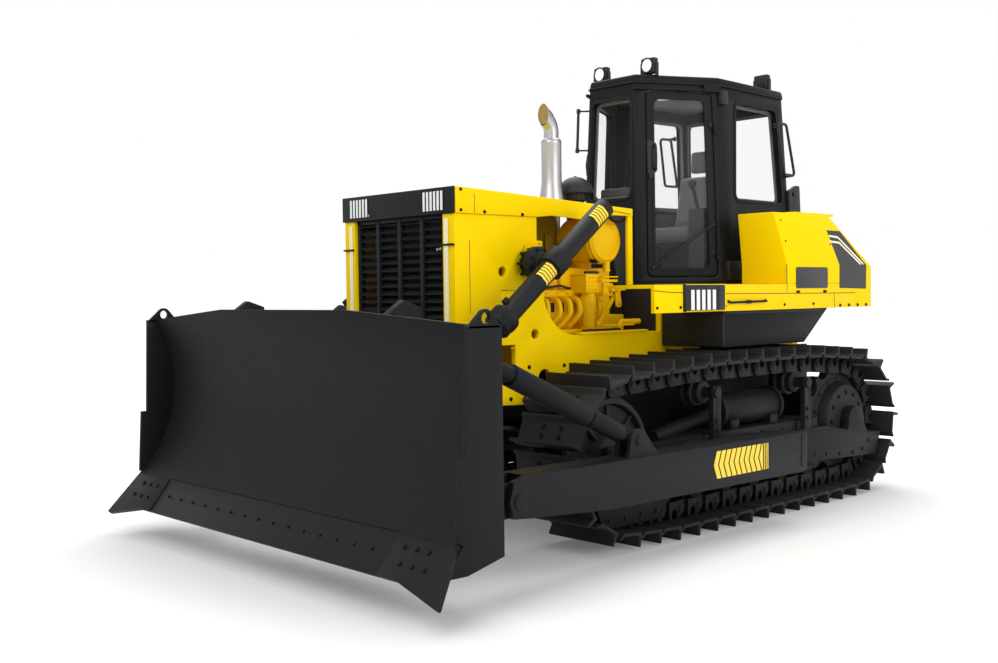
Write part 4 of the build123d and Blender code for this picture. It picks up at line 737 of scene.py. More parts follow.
@dataclass
class Crawler:
    """The tracks, their wheels and the frames that carry them."""

    half_gauge: float = 1.0
    shoes: int = 41
    shoe_wide: float = 0.56
    shoe_thick: float = 0.022
    link_half: float = 0.06  # half depth of a link rail
    grouser_tip: float = 0.155
    sprocket: Wheel = Wheel(0.0, 0.6, 0.44)
    idler: Wheel = Wheel(2.86, 0.61, 0.43)
    roller_x: tuple[float, ...] = (0.545, 0.902, 1.259, 1.616, 1.973, 2.33)
    roller_z: float = 0.32
    roller_reach: float = 0.165
    carrier_x: tuple[float, ...] = (0.7, 1.87)
    carrier_z: float = 0.952
    carrier_reach: float = 0.139
    beam_out: float = 1.15
    guard_out: float = 1.225
    phase: float = 0.78  # where the first pin lies, in shoes
    teeth: int = 14
    spring: Triple = (0.93, 1.62, 0.79)  # spring housing: rear and front ends, and height
    spring_y: float = 0.985

    def build(self) -> None:
        """Build both tracks, then the wheels and the frames."""
        path = self._pins()
        for side, sign in (("left", 1), ("right", -1)):
            self._track(side, sign, path)
        self._sprockets()
        self._idlers()
        self._rollers()
        self._frames()
        recast("final_drives", BLACK, soft=0.006)
        recast("equalizer_bar", BLACK, soft=0.008)

    def _pins(self) -> list[Vector]:
        """Return the pins' places (x, z) along the belt round all the wheels."""
        rollers = [Wheel(x, self.roller_z, self.roller_reach) for x in (self.roller_x[0], self.roller_x[-1])]
        carriers = [Wheel(x, self.carrier_z, self.carrier_reach) for x in self.carrier_x]
        ring = [*rollers, self.idler, *reversed(carriers), self.sprocket]
        normals = []
        for wheel, after in sides(ring):
            run = Vector((after.x - wheel.x, after.z - wheel.z))
            share = (wheel.reach - after.reach) / run.length
            ahead = run.normalized()
            outer = Vector((ahead.y, -ahead.x))
            normals.append(ahead * share + outer * math.sqrt(1 - share * share))
        stations = []
        for i, wheel in enumerate(ring):
            start, end = normals[i - 1], normals[i]
            sweep = -start.angle_signed(end)
            steps = max(1, round(sweep / math.radians(1.0)))
            hub = Vector((wheel.x, wheel.z))
            for step in range(steps + 1):
                spoke = start.copy()
                spoke.rotate(Matrix.Rotation(sweep * step / steps, 2))
                stations.append(hub + spoke * wheel.reach)
        stations.append(stations[0])
        lengths = [0.0]
        for a, b in zip(stations, stations[1:]):
            lengths.append(lengths[-1] + (b - a).length)
        pins, at_station = [], 0
        for i in range(self.shoes):
            along = lengths[-1] * (i + self.phase) / self.shoes
            while lengths[at_station + 1] < along:
                at_station += 1
            share = (along - lengths[at_station]) / (lengths[at_station + 1] - lengths[at_station])
            pins.append(stations[at_station].lerp(stations[at_station + 1], share))
        return pins

    def _track(self, side: str, sign: int, pins: list[Vector]) -> None:
        """Build one track: shoes, link rails, pins and shoe bolts, stamped along the belt.

        Args:
            side: left or right, for the names.
            sign: 1 on the left, -1 on the right.
            pins: the pins' places.
        """
        places, pitch = [], (pins[1] - pins[0]).length
        for a, b in sides(pins):
            along, middle = (b - a).normalized(), (a + b) / 2
            places.append(Matrix(((along.x, 0, along.y, middle.x), (0, -1, 0, sign * self.half_gauge),
                                  (along.y, 0, -along.x, middle.y), (0, 0, 0, 1))))
        self._shoes(f"track_shoes_{side}", pitch, places).finish(TRACK, replaces=(f"track_{side}",))
        self._links(f"track_links_{side}", pitch, places).finish(TRACK)
        top = self.link_half + self.shoe_thick - 0.001
        lone = Piece("scratch").bolts([(x * pitch, y, top) for x in (-0.12, 0.16) for y in (-0.076, 0.076)],
                                      0.014, 0.012, UP)
        Piece(f"track_bolts_{side}").absorb(lone.mesh, places).finish(BOLT)

    def _shoes(self, name: str, pitch: float, places: list[Matrix]) -> Piece:
        """Return the shoes: a plate, a grouser at its leading end and a lapped lip at the other."""
        low, top, tip = self.link_half, self.link_half + self.shoe_thick, self.grouser_tip
        shares = [(-0.485, low), (0.36, low), (0.5, top + 0.004), (0.545, top + 0.004), (0.545, top + 0.02),
                  (0.47, top + 0.02), (0.34, top), (-0.3, top), (-0.335, top + 0.012), (-0.352, tip),
                  (-0.45, tip), (-0.47, top)]
        half, outline = self.shoe_wide / 2, [(share * pitch, rise) for share, rise in shares]
        return Piece(name).plate(Facing.SIDE, outline, -half, half, 0.0028, places)

    def _links(self, name: str, pitch: float, places: list[Matrix]) -> Piece:
        """Return the link rails: two lapped half plates a side with a window, and pins with bosses."""
        half, piece = self.link_half, Piece(name)
        for out in (1, -1):
            for reach, inner, outer in ((-1, 0.074, 0.1), (1, 0.05, 0.076)):
                end, cut = reach * 0.5 * pitch, reach * 0.12 * pitch
                tip = [(0.012, -1), (0.034, -0.3), (0.034, 0.45), (-0.004, 0.82), (-0.012, 1)]
                window = [(2.7, 1), (2.7, 0.3), (1.6, -0.12), (0.5, 0.22), (0.5, 1), (-0.7, 1)]
                outline = [(-cut * 0.7, -half), *((end + reach * x, z * half) for x, z in tip),
                           *((cut * x, z * half) for x, z in window)]
                piece.plate(Facing.SIDE, outline, out * inner, out * outer, 0.003, places)
        for end, out in ((-0.5, 0.104), (0.5, 0.08)):
            for sign in (1, -1):
                x = end * pitch
                piece.bar((x, sign * 0.05, 0), (x, sign * out, 0), 0.036, sides=16, places=places)
        piece.bar((-0.5 * pitch, -0.112, 0), (-0.5 * pitch, 0.112, 0), 0.021, sides=14, places=places)
        return piece

    def _sprockets(self) -> None:
        """Build the drive sprockets: a toothed ring, a bolted hub and a domed cover."""
        x, y, z = self.sprocket.x, self.half_gauge, self.sprocket.z
        flank = ((-0.36, 0.385), (-0.22, 0.4), (-0.1, 0.455), (0.1, 0.455), (0.22, 0.4), (0.36, 0.385))
        outline = []
        for tooth in range(self.teeth):
            for share, radius in flank:
                angle = 2 * math.pi * (tooth + share) / self.teeth
                outline.append((x + radius * math.cos(angle), z + radius * math.sin(angle)))
        ring = Piece("sprocket_rings").plate(Facing.SIDE, outline, y - 0.038, y + 0.038)
        ring.lathe((x, y, z), LEFT, [(0, -0.085), (0.2, -0.085), (0.23, -0.07), (0.3, -0.05), (0.345, -0.042),
                                     (0.345, 0.042), (0.315, 0.052), (0.3, 0.105), (0.285, 0.128), (0.2, 0.138),
                                     (0.09, 0.145), (0.085, 0.162), (0.0, 0.164)], sides=56)
        ring.bolts(bolt_circle((x, y + 0.04, z), 0.327, 14, turn=0.2), 0.015, 0.014)
        ring.both_sides().finish(TRACK, replaces=("sprockets",))
        caps = Piece("sprocket_bolts").bolts(bolt_circle((x, y + 0.136, z), 0.225, 12), 0.013, 0.011)
        caps.both_sides().finish(BOLT)

    def _idlers(self) -> None:
        """Build the front idlers: a flanged rim, a dished web with ribs and a hub."""
        hub = (self.idler.x, self.half_gauge, self.idler.z)
        wheel = Piece("idler_wheels")
        wheel.lathe(hub, LEFT, both_ends([
            (0.06, 0.108), (0.13, 0.1), (0.17, 0.03), (0.32, 0.05), (0.335, 0.095), (0.368, 0.093),
            (0.368, 0.05), (0.39, 0.044)]), sides=56, closed=True)
        for i in range(8):
            turn = Matrix.Translation(hub) @ Matrix.Rotation(math.pi * i / 4, 4, "Y")
            wheel.block((0.12, -0.07, -0.012), (0.335, 0.07, 0.012), place=turn)
        wheel.bar((hub[0], 0.86, hub[2]), (hub[0], self.beam_out + 0.004, hub[2]), 0.046)
        wheel.both_sides().finish(TRACK, replaces=("idlers",))
        blocks = Piece("idler_bearings")
        for y in (0.868, 1.142):
            blocks.block((hub[0] - 0.12, y - 0.022, hub[2] - 0.09), (hub[0] + 0.11, y + 0.022, hub[2] + 0.062),
                         0.012)
        blocks.bolts([(hub[0] + x, 1.163, hub[2] + z) for x in (-0.09, 0.085) for z in (-0.065, 0.04)], 0.013)
        blocks.both_sides().finish(BLACK)

    def _rollers(self) -> None:
        """Build the track rollers and the carrier rollers."""
        rollers, z = Piece("track_roller_wheels"), self.roller_z
        rim = both_ends([
            (0.05, 0.128), (0.076, 0.122), (0.09, 0.108), (0.103, 0.104), (0.103, 0.05), (0.125, 0.044),
            (0.125, 0.03), (0.1, 0.02)])
        for x in self.roller_x:
            rollers.lathe((x, self.half_gauge, z), LEFT, rim)
            rollers.bar((x, 0.868, z), (x, 1.147, z), 0.046)
            rollers.bolts([(x + dx, 1.13, z + 0.085) for dx in (-0.035, 0.035)], 0.011)
        rollers.both_sides().finish(TRACK, replaces=("track_rollers",))
        carriers = Piece("carrier_roller_wheels")
        rim = both_ends([(0.062, 0.1), (0.078, 0.096), (0.078, 0.05), (0.1, 0.044), (0.1, 0.03), (0.076, 0.02)])
        for x in self.carrier_x:
            carriers.lathe((x, self.half_gauge, self.carrier_z), LEFT, [
                (0, -0.106), (0.05, -0.106), *rim, (0.04, 0.106), (0.036, 0.14), (0.036, 0.226), (0, 0.229)])
        carriers.both_sides().finish(TRACK, replaces=("carrier_rollers",))

    def _frames(self) -> None:
        """Build the track frames: the beams, spring housings, covers and bolted guides."""
        recast("track_frames", BLACK, soft=0.007)
        out, low = self.beam_out, self.roller_z
        trim = Piece("track_frame_trim")
        rear, front, z = self.spring
        y = self.spring_y
        for start, end, radius, soft in ((rear, front, 0.125, 0.012), (rear - 0.03, rear, 0.145, 0.003),
                                         (front, front + 0.03, 0.145, 0.003)):
            trim.bar((start, y, z), (end, y, z), radius, sides=36, soft=soft)
        trim.bar((front + 0.02, y, z - 0.02), (2.3, y, 0.66), 0.05)
        trim.blocks(((x - 0.05, 0.85, 0.655), (x + 0.05, 1.12, 0.73), 0.008) for x in (1.02, 1.52))
        trim.blocks(((x - 0.07, out - 0.002, low - 0.03), (x + 0.07, out + 0.014, low + 0.06), 0.006)
                    for x in self.roller_x)
        trim.blocks(((start, out - 0.002, 0.49), (end, out + 0.012, 0.63), 0.006)
                    for start, end in ((0.95, 1.24), (1.56, 2.2)))
        trim.both_sides().finish(BLACK)
        heads = Piece("track_frame_bolts")
        heads.bolts([(x + dx, out + 0.013, low + 0.045) for x in self.roller_x for dx in (-0.05, 0.05)])
        heads.bolts([(x, out + 0.011, z) for x in (0.975, 1.215, 1.585, 1.78, 1.98, 2.175)
                     for z in (0.51, 0.61)])
        heads.bolts([(2.71 + dx, out + 0.0005, 0.285 + dz) for dx in (-0.24, -0.08, 0.08, 0.24)
                     for dz in (-0.09, 0.09)], 0.013)
        guard = [(-0.2, 0.42), (-0.1, 0.36), (0.05, 0.345), (0.25, 0.355), (0.45, 0.375), (0.62, 0.39),
                 (0.8, 0.4)]
        heads.bolts([(x, self.guard_out - 0.001, z) for x, z in guard], 0.014)
        heads.bolts([(x, out + 0.06, self.carrier_z + dz) for x in self.carrier_x
                     for dz in (-0.27, -0.2)], 0.014)
        heads.both_sides().finish(BOLT)


# ---- frame and engine
@dataclass
class MainFrame:
    """The side plates, the belly, the posts under the hood's rear end, and the drawbar."""

    out: float = 0.585
    inside: float = 0.545
    hollow: Wheel = Wheel(2.63, 1.705, 0.33)  # beside the engine
    lift_hole: Wheel = Wheel(3.04, 1.395, 0.034)
    sling_hole: Wheel = Wheel(2.952, 1.095, 0.06)
    post: Pair = (2.025, 2.078)
    post_head: float = 2.26

    def build(self) -> None:
        """Build the plates and what joins them."""
        self._side_plates()
        self._lower_plates()
        low = [(3.101, 1.175), (2.762, 1.171), (2.656, 1.17), (3.274, 0.973), (3.147, 0.967)]
        Piece("main_frame_bolts").bolts([(x, self.out, z) for x, z in low], 0.011).both_sides().finish(BOLT)
        dress("drawbar", BLACK)
        self._under_panels()

    def _side_plates(self) -> None:
        """Build the painted plates beside the engine, with their seams, posts and cross members."""
        out, inside, front = self.out, self.inside, 3.42
        plate = [*arc(self.hollow.x, self.hollow.z, self.hollow.reach, -90, -3), (3.35, 1.69), (3.35, 1.33),
                 (3.225, 1.33), (3.225, 1.19), (front, 1.01), (front, 0.94), (3.03, 0.921), (2.66, 1.13),
                 (1.66, 1.13), (1.66, 1.525), (1.72, 1.525), (1.72, 1.375)]
        holes = [circle(wheel.x, wheel.z, wheel.reach) for wheel in (self.lift_hole, self.sling_hole)]
        paint = Piece("main_frame_side_plates").plate(Facing.SIDE, plate, inside, out, 0.003, holes=holes)
        paint.block((self.post[0], out - 0.025, 1.69), (self.post[1], out, self.post_head))
        paint.block((1.87, 0.53, 1.375), (2.6, 0.6, 1.392))
        for x, z in ((3.268, 1.309), (3.101, 1.205)):
            paint.block((x - 0.26, out - 0.002, z - 0.002), (x, out + SKIN, z + 0.002), 0)
        paint.both_sides()
        paint.block((3.38, -inside, 0.94), (front, inside, 1.01))
        paint.block((3.31, -inside, 1.34), (3.35, inside, 1.49))
        paint.finish(YELLOW, replaces=("main_frame",))

    def _lower_plates(self) -> None:
        """Build the dark plates low between the tracks, the belly, and the near-black plate that closes the
        engine's bay behind, whose gap colour is painted shade.
        """
        inside = self.inside
        plate = [(3.03, 0.921), (2.6, 0.9), (1.8, 0.43), (-0.3, 0.43), (-0.3, 1.2), (1.66, 1.2), (1.66, 1.13),
                 (2.66, 1.13)]
        belly = [(-0.3, 0.43), (1.8, 0.43), (2.6, 0.9), (3.42, 0.94), (3.42, 0.96), (2.6, 0.92), (1.79, 0.45),
                 (-0.3, 0.45)]
        dark = Piece("main_frame_lower_plates").plate(Facing.SIDE, plate, inside, self.out, 0.003).both_sides()
        dark.plate(Facing.SIDE, belly, -inside, inside, 0.003)
        dark.block((2.15, -0.08, 0.6), (2.25, 0.08, 0.67))
        dark.block((2.7, -inside, 1.13), (2.72, inside, 1.37), 0.002)
        dark.finish(BLACK)
        # The plate that closes the bay behind is near-black: painted shade, so that the opening reads dark.
        Piece("main_frame_painted_shade_backing").block((1.7, -0.54, 1.15), (1.73, 0.54, 1.73), 0.002).finish(DARK_SEAM_AND_SHADE)

    def _under_panels(self) -> None:
        """Build the dark boxes under the deck, with a ledge and a front edge."""
        low, high, front = 1.262, 1.525, 1.7
        under = Piece("under_panels_body").plate(
            Facing.SIDE, [(0.3, high), (front, high), (front, low), (0.645, low)], 0.59, 1.15, 0.008)
        under.both_sides().finish(CAB_BLACK, replaces=("under_panels",))
        ledge = Piece("under_panel_edges").block((0.4, 1.14, 1.5), (front, 1.16, high - 0.001))
        ledge.block((front - 0.01, 0.6, 1.268), (front + 0.006, 1.15, 1.52)).both_sides().finish(DARK_SEAM_AND_SHADE)


@dataclass
class EngineBay:
    """The engine with its filters, manifold, linkage and air intake."""

    cleaner: Pair = (2.216, 2.046)
    cleaner_reach: float = 0.172
    filter: Pair = (2.345, 0.43)
    deck: float = 1.85  # engine's top
    bowl: Triple = (2.005, 0.0, 2.428)  # precleaner's rim

    def build(self) -> None:
        """Build every group."""
        recast("transmission_case", SHADE_YELLOW, soft=0.012)
        recast("engine_block", SHADE_YELLOW, soft=0.014)
        self._cleaner()
        self._filter()
        self._manifold()
        self._linkage()
        self._intake()
        # A dark yellow block with fins that fills the bay under the hood: painted shade, standing in for the
        # shade there.
        cover = Piece("engine_bay_painted_shade_cover").block((2.36, -0.22, self.deck - 0.01), (3.0, 0.14, 2.26), 0.02)
        for i in range(4):
            cover.block((2.42 + 0.15 * i, 0.13, 1.9), (2.5 + 0.15 * i, 0.16, 2.1), 0.01)
        cover.finish(PAINTED_SHADE_YELLOW)

    def _cleaner(self) -> None:
        """Build the air cleaner: a canister with a domed cover, a clamp band and a spout."""
        (x, z), reach = self.cleaner, self.cleaner_reach
        made = Piece("air_cleaner_canister")
        made.lathe((x, 0.16, z), LEFT, [
            (0, 0), (reach - 0.012, 0), (reach - 0.004, 0.006), (reach - 0.004, 0.27), (reach, 0.274),
            (reach, 0.3), (reach - 0.006, 0.306), (reach - 0.006, 0.325), (reach - 0.03, 0.345),
            (reach - 0.036, 0.338),
            (reach - 0.05, 0.338), (0.07, 0.357), (0, 0.36)], sides=64)
        for head, radius in ((1.93, 0.026), (1.832, 0.029)):
            made.bar((x - 0.028, 0.47, head), (x - 0.028, 0.47, 1.82), radius)
        made.block((x - 0.06, 0.18, self.deck), (x + 0.06, 0.298, 1.9), 0.008)
        made.finish(SHADE_YELLOW, replaces=("air_cleaner",))
        band = Piece("air_cleaner_clips")
        for degrees in (20, 95, 170, 300):
            turn, far = math.radians(degrees), reach + 0.004
            at = Vector((x + far * math.cos(turn), 0.45, z + far * math.sin(turn)))
            band.block((-0.02, -0.028, -0.007), (0.02, 0.028, 0.007), 0.003,
                       Matrix.Translation(at) @ Matrix.Rotation(math.pi / 2 - turn, 4, "Y"))
        band.finish(BOLT)

    def _filter(self) -> None:
        """Build the upright filter under its bolted head."""
        x, y = self.filter
        made = Piece("oil_filter_housing")
        made.lathe((x, y, 1.375), UP, [(0, 0), (0.05, 0), (0.056, 0.012), (0.056, 0.21), (0.06, 0.214),
                                       (0.06, 0.262), (0.052, 0.268), (0.052, 0.3), (0, 0.3)], sides=40)
        made.blocks([((x - 0.06, 0.3, 1.665), (x + 0.08, 0.49, 1.795), 0.008),
                     ((x - 0.07, 0.37, 1.345), (x + 0.07, 0.543, 1.375), 0.004),
                     ((x - 0.06, 0.27, 1.795), (x + 0.08, 0.48, 1.803), 0.002)])
        made.bolts([(x - 0.045 + 0.03 * i, 0.49, z) for i in range(4) for z in (1.69, 1.72, 1.75, 1.778)
                    if (i, z) != (1, 1.72)], 0.006, 0.006)
        made.finish(SHADE_YELLOW, replaces=("oil_filter",))

    def _manifold(self) -> None:
        """Build the curved runners, their rails and the side covers of the block."""
        made = Piece("engine_manifold")
        for x in (2.22, 2.43, 2.53, 2.64, 2.76):
            made.pipe([(x, 0.3, 1.63), (x, 0.42, 1.62), (x + 0.015, 0.45, 1.52), (x + 0.07, 0.38, 1.43)], 0.021,
                      0.06)
        made.block((2.1, 0.3, 1.64), (2.9, 0.36, 1.69), 0.008)
        made.block((2.1, 0.3, 1.36), (2.92, 0.46, 1.41), 0.01)
        made.blocks(((x - 0.06, 0.29, 1.7), (x + 0.06, 0.335, 1.83), 0.012) for x in (2.47, 2.62, 2.77))
        made.bolts([(2.15 + 0.11 * i, 0.36, 1.665) for i in range(7)], 0.01)
        made.pipe([(2.6, 0.33, 1.95), (2.6, 0.42, 1.9), (2.72, 0.42, 1.88), (2.86, 0.36, 1.9)], 0.034, 0.07)
        made.pipe([(2.08, 0.5, 1.4), (2.08, 0.5, 1.452), (1.94, 0.5, 1.452), (1.86, 0.5, 1.452)], 0.019, 0.035)
        made.finish(SHADE_YELLOW)
        dark = Piece("engine_dark_lines")
        dark.pipe([(2.9, 0.34, 1.69), (2.6, 0.4, 1.72), (2.5, 0.4, 1.7)], 0.009, 0.05)
        dark.pipe([(2.1, 0.52, 1.4), (2.5, 0.52, 1.4)], 0.008)
        dark.blocks(((x - 0.028, 0.3, 1.53), (x + 0.028, 0.306, 1.6), 0.003) for x in (2.49, 2.59))
        dark.pipe([(2.28, 0.47, 1.812), (2.42, 0.47, 1.812)], 0.011)
        dark.finish(DARK_SEAM_AND_SHADE)

    def _linkage(self) -> None:
        """Build the control linkage between the filter and the post."""
        made = Piece("engine_linkage")
        made.blocks([((2.13, 0.5, 1.742), (2.3, 0.53, 1.762), 0.004),
                     ((2.13, 0.495, 1.775), (2.3, 0.535, 1.785), 0.003),
                     ((2.17, 0.49, 1.64), (2.27, 0.52, 1.735), 0.006)])
        for start, end, radius in (((2.2, 0.5, 1.69), (2.2, 0.552, 1.69), 0.02),
                                   ((2.13, 0.54, 1.69), (2.06, 0.54, 1.692), 0.012),
                                   ((2.145, 0.52, 1.69), (2.145, 0.556, 1.69), 0.021),
                                   ((2.3, 0.53, 1.43), (1.95, 0.53, 1.43), 0.006)):
            made.bar(start, end, radius)
        lever = rounded_outline([(2.1, 1.56), (2.16, 1.56), (2.17, 1.68), (2.12, 1.68)], 0.02)
        made.plate(Facing.SIDE, lever, 0.53, 0.542, 0.002, holes=[circle(2.118, 1.578, 0.012, 16)])
        made.plate(Facing.SIDE, strip((2.33, 1.43), (2.14, 1.65), 0.028), 0.5, 0.52, 0.003)
        made.bolts([(x, 0.52, z) for x in (2.19, 2.25) for z in (1.66, 1.72)], 0.008)
        made.finish(SHADE_YELLOW)
        loop = Piece("hood_rear_tube").pipe([(2.265, 0.55, 2.225), (2.2, 0.555, 2.18), (2.12, 0.555, 2.178),
                                             (2.05, 0.55, 2.215)], 0.01, 0.04)
        loop.finish(BOLT)

    def _intake(self) -> None:
        """Build the domed precleaner with its ribs and band, and its pipe."""
        made, x, ribs = Piece("precleaner_bowl"), self.bowl[0], 20
        made.lathe(self.bowl, UP, [
            (0.07, -0.4), (0.07, -0.06), (0.094, -0.056), (0.1, -0.045), (0.1, -0.004), (0.136, -0.004),
            (0.142, 0.002), (0.142, 0.012), (0.136, 0.034), (0.124, 0.06), (0.106, 0.084), (0.08, 0.106),
            (0.052, 0.12), (0.03, 0.126), (0, 0.127)], sides=48)
        made.lathe((x, 0, 2.3), UP, [(0.07, 0), (0.078, 0), (0.078, 0.03), (0.07, 0.03)], closed=True)
        made.bar((x, 0, 2.55), (x, 0, 2.562), 0.012)
        for i in range(ribs):
            turn = Matrix.Translation(self.bowl) @ Matrix.Rotation(2 * math.pi * i / ribs, 4, "Z")
            made.block((0.094, -0.004, -0.04), (0.106, 0.004, -0.008), 0, turn)
        made.bar((x, 0, 2.046), (x + 0.085, 0.133, 2.046), 0.05)
        made.finish(PLASTIC, replaces=("precleaner",))


# ---- radiator guard, grille and hood
@dataclass
class Nose:
    """The radiator guard with its grille, the hood over it, and the exhaust."""

    out: float = 0.585
    front: float = 3.75
    skirt: float = 2.179
    opening: float = 0.47  # half width of the grille
    sill: float = 1.45
    columns: int = 4
    rows: int = 14
    hood_out: float = 0.597
    bars: int = 6
    stack_x: float = 2.264
    stack_base: float = 2.313
    tip_reach: float = 0.056
    # rings of the stack's tip: place ahead of its axis, height, lean in degrees, how much taller than a circle
    tip: tuple[tuple[float, float, float, float], ...] = (
        (0.0, 2.81, 0, 1.0), (0.0, 2.885, 0, 1.0), (0.012, 2.925, 25, 1.04), (0.044, 2.965, 58, 1.2),
        (0.082, 3.0, 90, 1.48))

    def build(self) -> None:
        """Build every group."""
        self._guard()
        self._grille()
        self._hood()
        self._front_panel()
        self._exhaust()

    def _guard(self) -> None:
        """Build the guard's sides and columns, with their seams, pins, and pale corner strips that are painted
        highlights.
        """
        recast("radiator_guard", YELLOW, soft=0.008, steps=3)
        seams = Piece("radiator_guard_seams")
        out = self.out
        seams.block((3.6185, out - 0.002, 1.54), (3.6225, out + SKIN, 2.01), 0)
        curve = arc(2.9, 1.87, 0.26, -22, 28, 12)
        for a, b in zip(curve, curve[1:]):
            seams.plate(Facing.SIDE, strip(a, b, 0.005), out - 0.002, out + SKIN, 0)
        seams.block((3.02, out - 0.002, 1.688), (3.35, out + SKIN, 1.692), 0)
        seams.both_sides().finish(SEAM)
        # Pale strips down the front of the columns: a painted highlight, where light catches the rounded
        # corners.
        pale = Piece("radiator_guard_painted_highlights")
        pale.block((self.front - 0.001, out - 0.094, 1.47), (self.front + SKIN, out - 0.056, 2.15), 0)
        pale.both_sides().finish(CREAM_MARK_AND_HIGHLIGHT)
        dark = Piece("radiator_guard_pins")
        dark.bar((self.front + 0.004, out - 0.11, 1.983), (self.front + 0.004, out + 0.006, 1.983), 0.007)
        dark.bar((3.34, 0.5, 1.813), (3.34, 0.52, 1.813), 0.034)
        dark.block((3.49, out - 0.1, 1.345), (3.7, out - 0.05, 1.4), 0.006)
        dark.both_sides().finish(BOLT)
        outline = rounded_outline([(3.0, 1.96), (3.06, 1.96), (3.05, 2.02), (2.99, 2.02)], 0.015)
        lug = Piece("radiator_guard_lugs")
        lug.plate(Facing.SIDE, outline, out, out + 0.03, holes=[circle(3.018, 1.998, 0.008, 12)])
        lug.both_sides().finish(YELLOW)
        dress("radiator_core", CORE)

    def _grille(self) -> None:
        """Build the grille: uprights, slanted louvres in every slot, and hinges."""
        made = Piece("grille_louvres")
        wide, tall = 2 * self.opening / self.columns, (self.skirt - self.sill) / self.rows
        x = self.front - 0.028
        half, low, high = self.opening, self.sill, self.skirt
        for left, foot, right, head in ((-half, low, 0.03 - half, high), (half - 0.03, low, half, high),
                                        (-half, low, half, low + 0.03), (-half, high - 0.025, half, high)):
            made.block((x - 0.042, left, foot), (x, right, head), 0.003)
        for column in range(1, self.columns):
            y = column * wide - half
            made.block((x - 0.042, y - 0.018, low), (x + 0.004, y + 0.018, high))
        slat = Matrix.Rotation(math.radians(38), 4, "Y")
        for row in range(self.rows):
            z = low + (row + 0.5) * tall
            for column in range(self.columns):
                y = (column + 0.5) * wide - half
                made.block((-0.027, 0.016 - wide / 2, -0.003), (0.027, wide / 2 - 0.016, 0.003), 0,
                           Matrix.Translation((x - 0.024, y, z)) @ slat)
        for z in (1.52, 2.1):
            made.bar((x + 0.012, half + 0.012, z - 0.03), (x + 0.012, half + 0.012, z + 0.03), 0.01)
        made.finish(BLACK, replaces=("grille",))
        latch = Piece("grille_latch").bolts([(x, half - 0.045, 1.96), (x, half - 0.075, 1.958)], 0.007,
                                            outward=(1, 0, 0))
        latch.finish(BRIGHT)

    def _hood(self) -> None:
        """Build the hood sheet with its seams and bolts."""
        recast("hood", YELLOW, soft=0.005, steps=3)
        out = self.hood_out
        seams = Piece("hood_seams")
        seams.block((3.583, out - 0.002, 2.184), (3.587, out + SKIN, 2.31), 0)
        seams.plate(Facing.SIDE, strip((2.274, 2.251), (2.065, 2.233), 0.006), out - 0.002, out + SKIN, 0)
        seams.both_sides().finish(SEAM)
        dark = Piece("hood_bolts")
        dark.bolts([(3.498, out, 2.195), (3.159, out, 2.19)], 0.009)
        dark.bolts([(3.7, out, 2.2), (3.7, out, 2.33)], 0.008)
        dark.both_sides().finish(BOLT)

    def _front_panel(self) -> None:
        """Build the front panel with its two groups of pale bars."""
        recast("hood_front_panel", BLACK, soft=0.006, steps=3)
        x = self.front + 0.014
        marks = Piece("hood_front_bars")
        for i in range(self.bars):
            y = 0.3 + i * 0.195 / (self.bars - 0.42)
            marks.block((x - 0.001, y, 2.203), (x + SKIN, y + 0.02, 2.325), 0)
        marks.both_sides().finish(WHITE_MARK)
        handle = Piece("hood_front_handle").bar((x - 0.001, -0.27, 2.21), (x + 0.012, -0.27, 2.21), 0.007)
        handle.finish(BRIGHT)

    def _exhaust(self) -> None:
        """Build the stack: a flared foot, a bright body, and a thinner tip bent forward and cut aslant."""
        x, base = self.stack_x, self.stack_base
        made = Piece("exhaust_stack_body")
        made.lathe((x, 0, base), UP, [
            (0.06, -0.46), (0.06, 0), (0.105, 0), (0.107, 0.006), (0.105, 0.012), (0.098, 0.05), (0.086, 0.11),
            (0.078, 0.165), (0.076, 0.2), (0.076, 0.468), (0.0775, 0.472), (0.0775, 0.49), (0.074, 0.5),
            (0.06, 0.513), (0.05, 0.513)], sides=48)
        made.finish(BRIGHT, replaces=("exhaust_stack",))
        tip = Piece("exhaust_tip")
        shape = bmesh.new()
        rings = []
        for ahead, rise, lean, tall in self.tip:
            grown = bmesh.ops.create_circle(shape, cap_ends=False, segments=40, radius=self.tip_reach)["verts"]
            turn = (Matrix.Translation((x + ahead, 0, rise)) @ Matrix.Rotation(math.radians(lean), 4, "Y")
                    @ Matrix.Diagonal((tall, 1, 1, 1)))
            bmesh.ops.transform(shape, matrix=turn, verts=grown)
            rings.append({edge for corner in grown for edge in corner.link_edges})
        for low, high in zip(rings, rings[1:]):
            bmesh.ops.bridge_loops(shape, edges=[*low, *high])
        bmesh.ops.recalc_face_normals(shape, faces=shape.faces)
        bmesh.ops.solidify(shape, geom=list(shape.faces), thickness=0.004)
        tip.absorb(shape).finish(BRIGHT)
        bore = Matrix.Translation((x + 0.075, 0, 3.0)) @ Matrix.Diagonal((1, 1, 1.42, 1))
        disc = Piece("exhaust_tip_bore")
        disc.bar((-0.002, 0, 0), (0.002, 0, 0), 0.052, sides=40, soft=0, places=(bore,)).finish(PIPE_TAN)


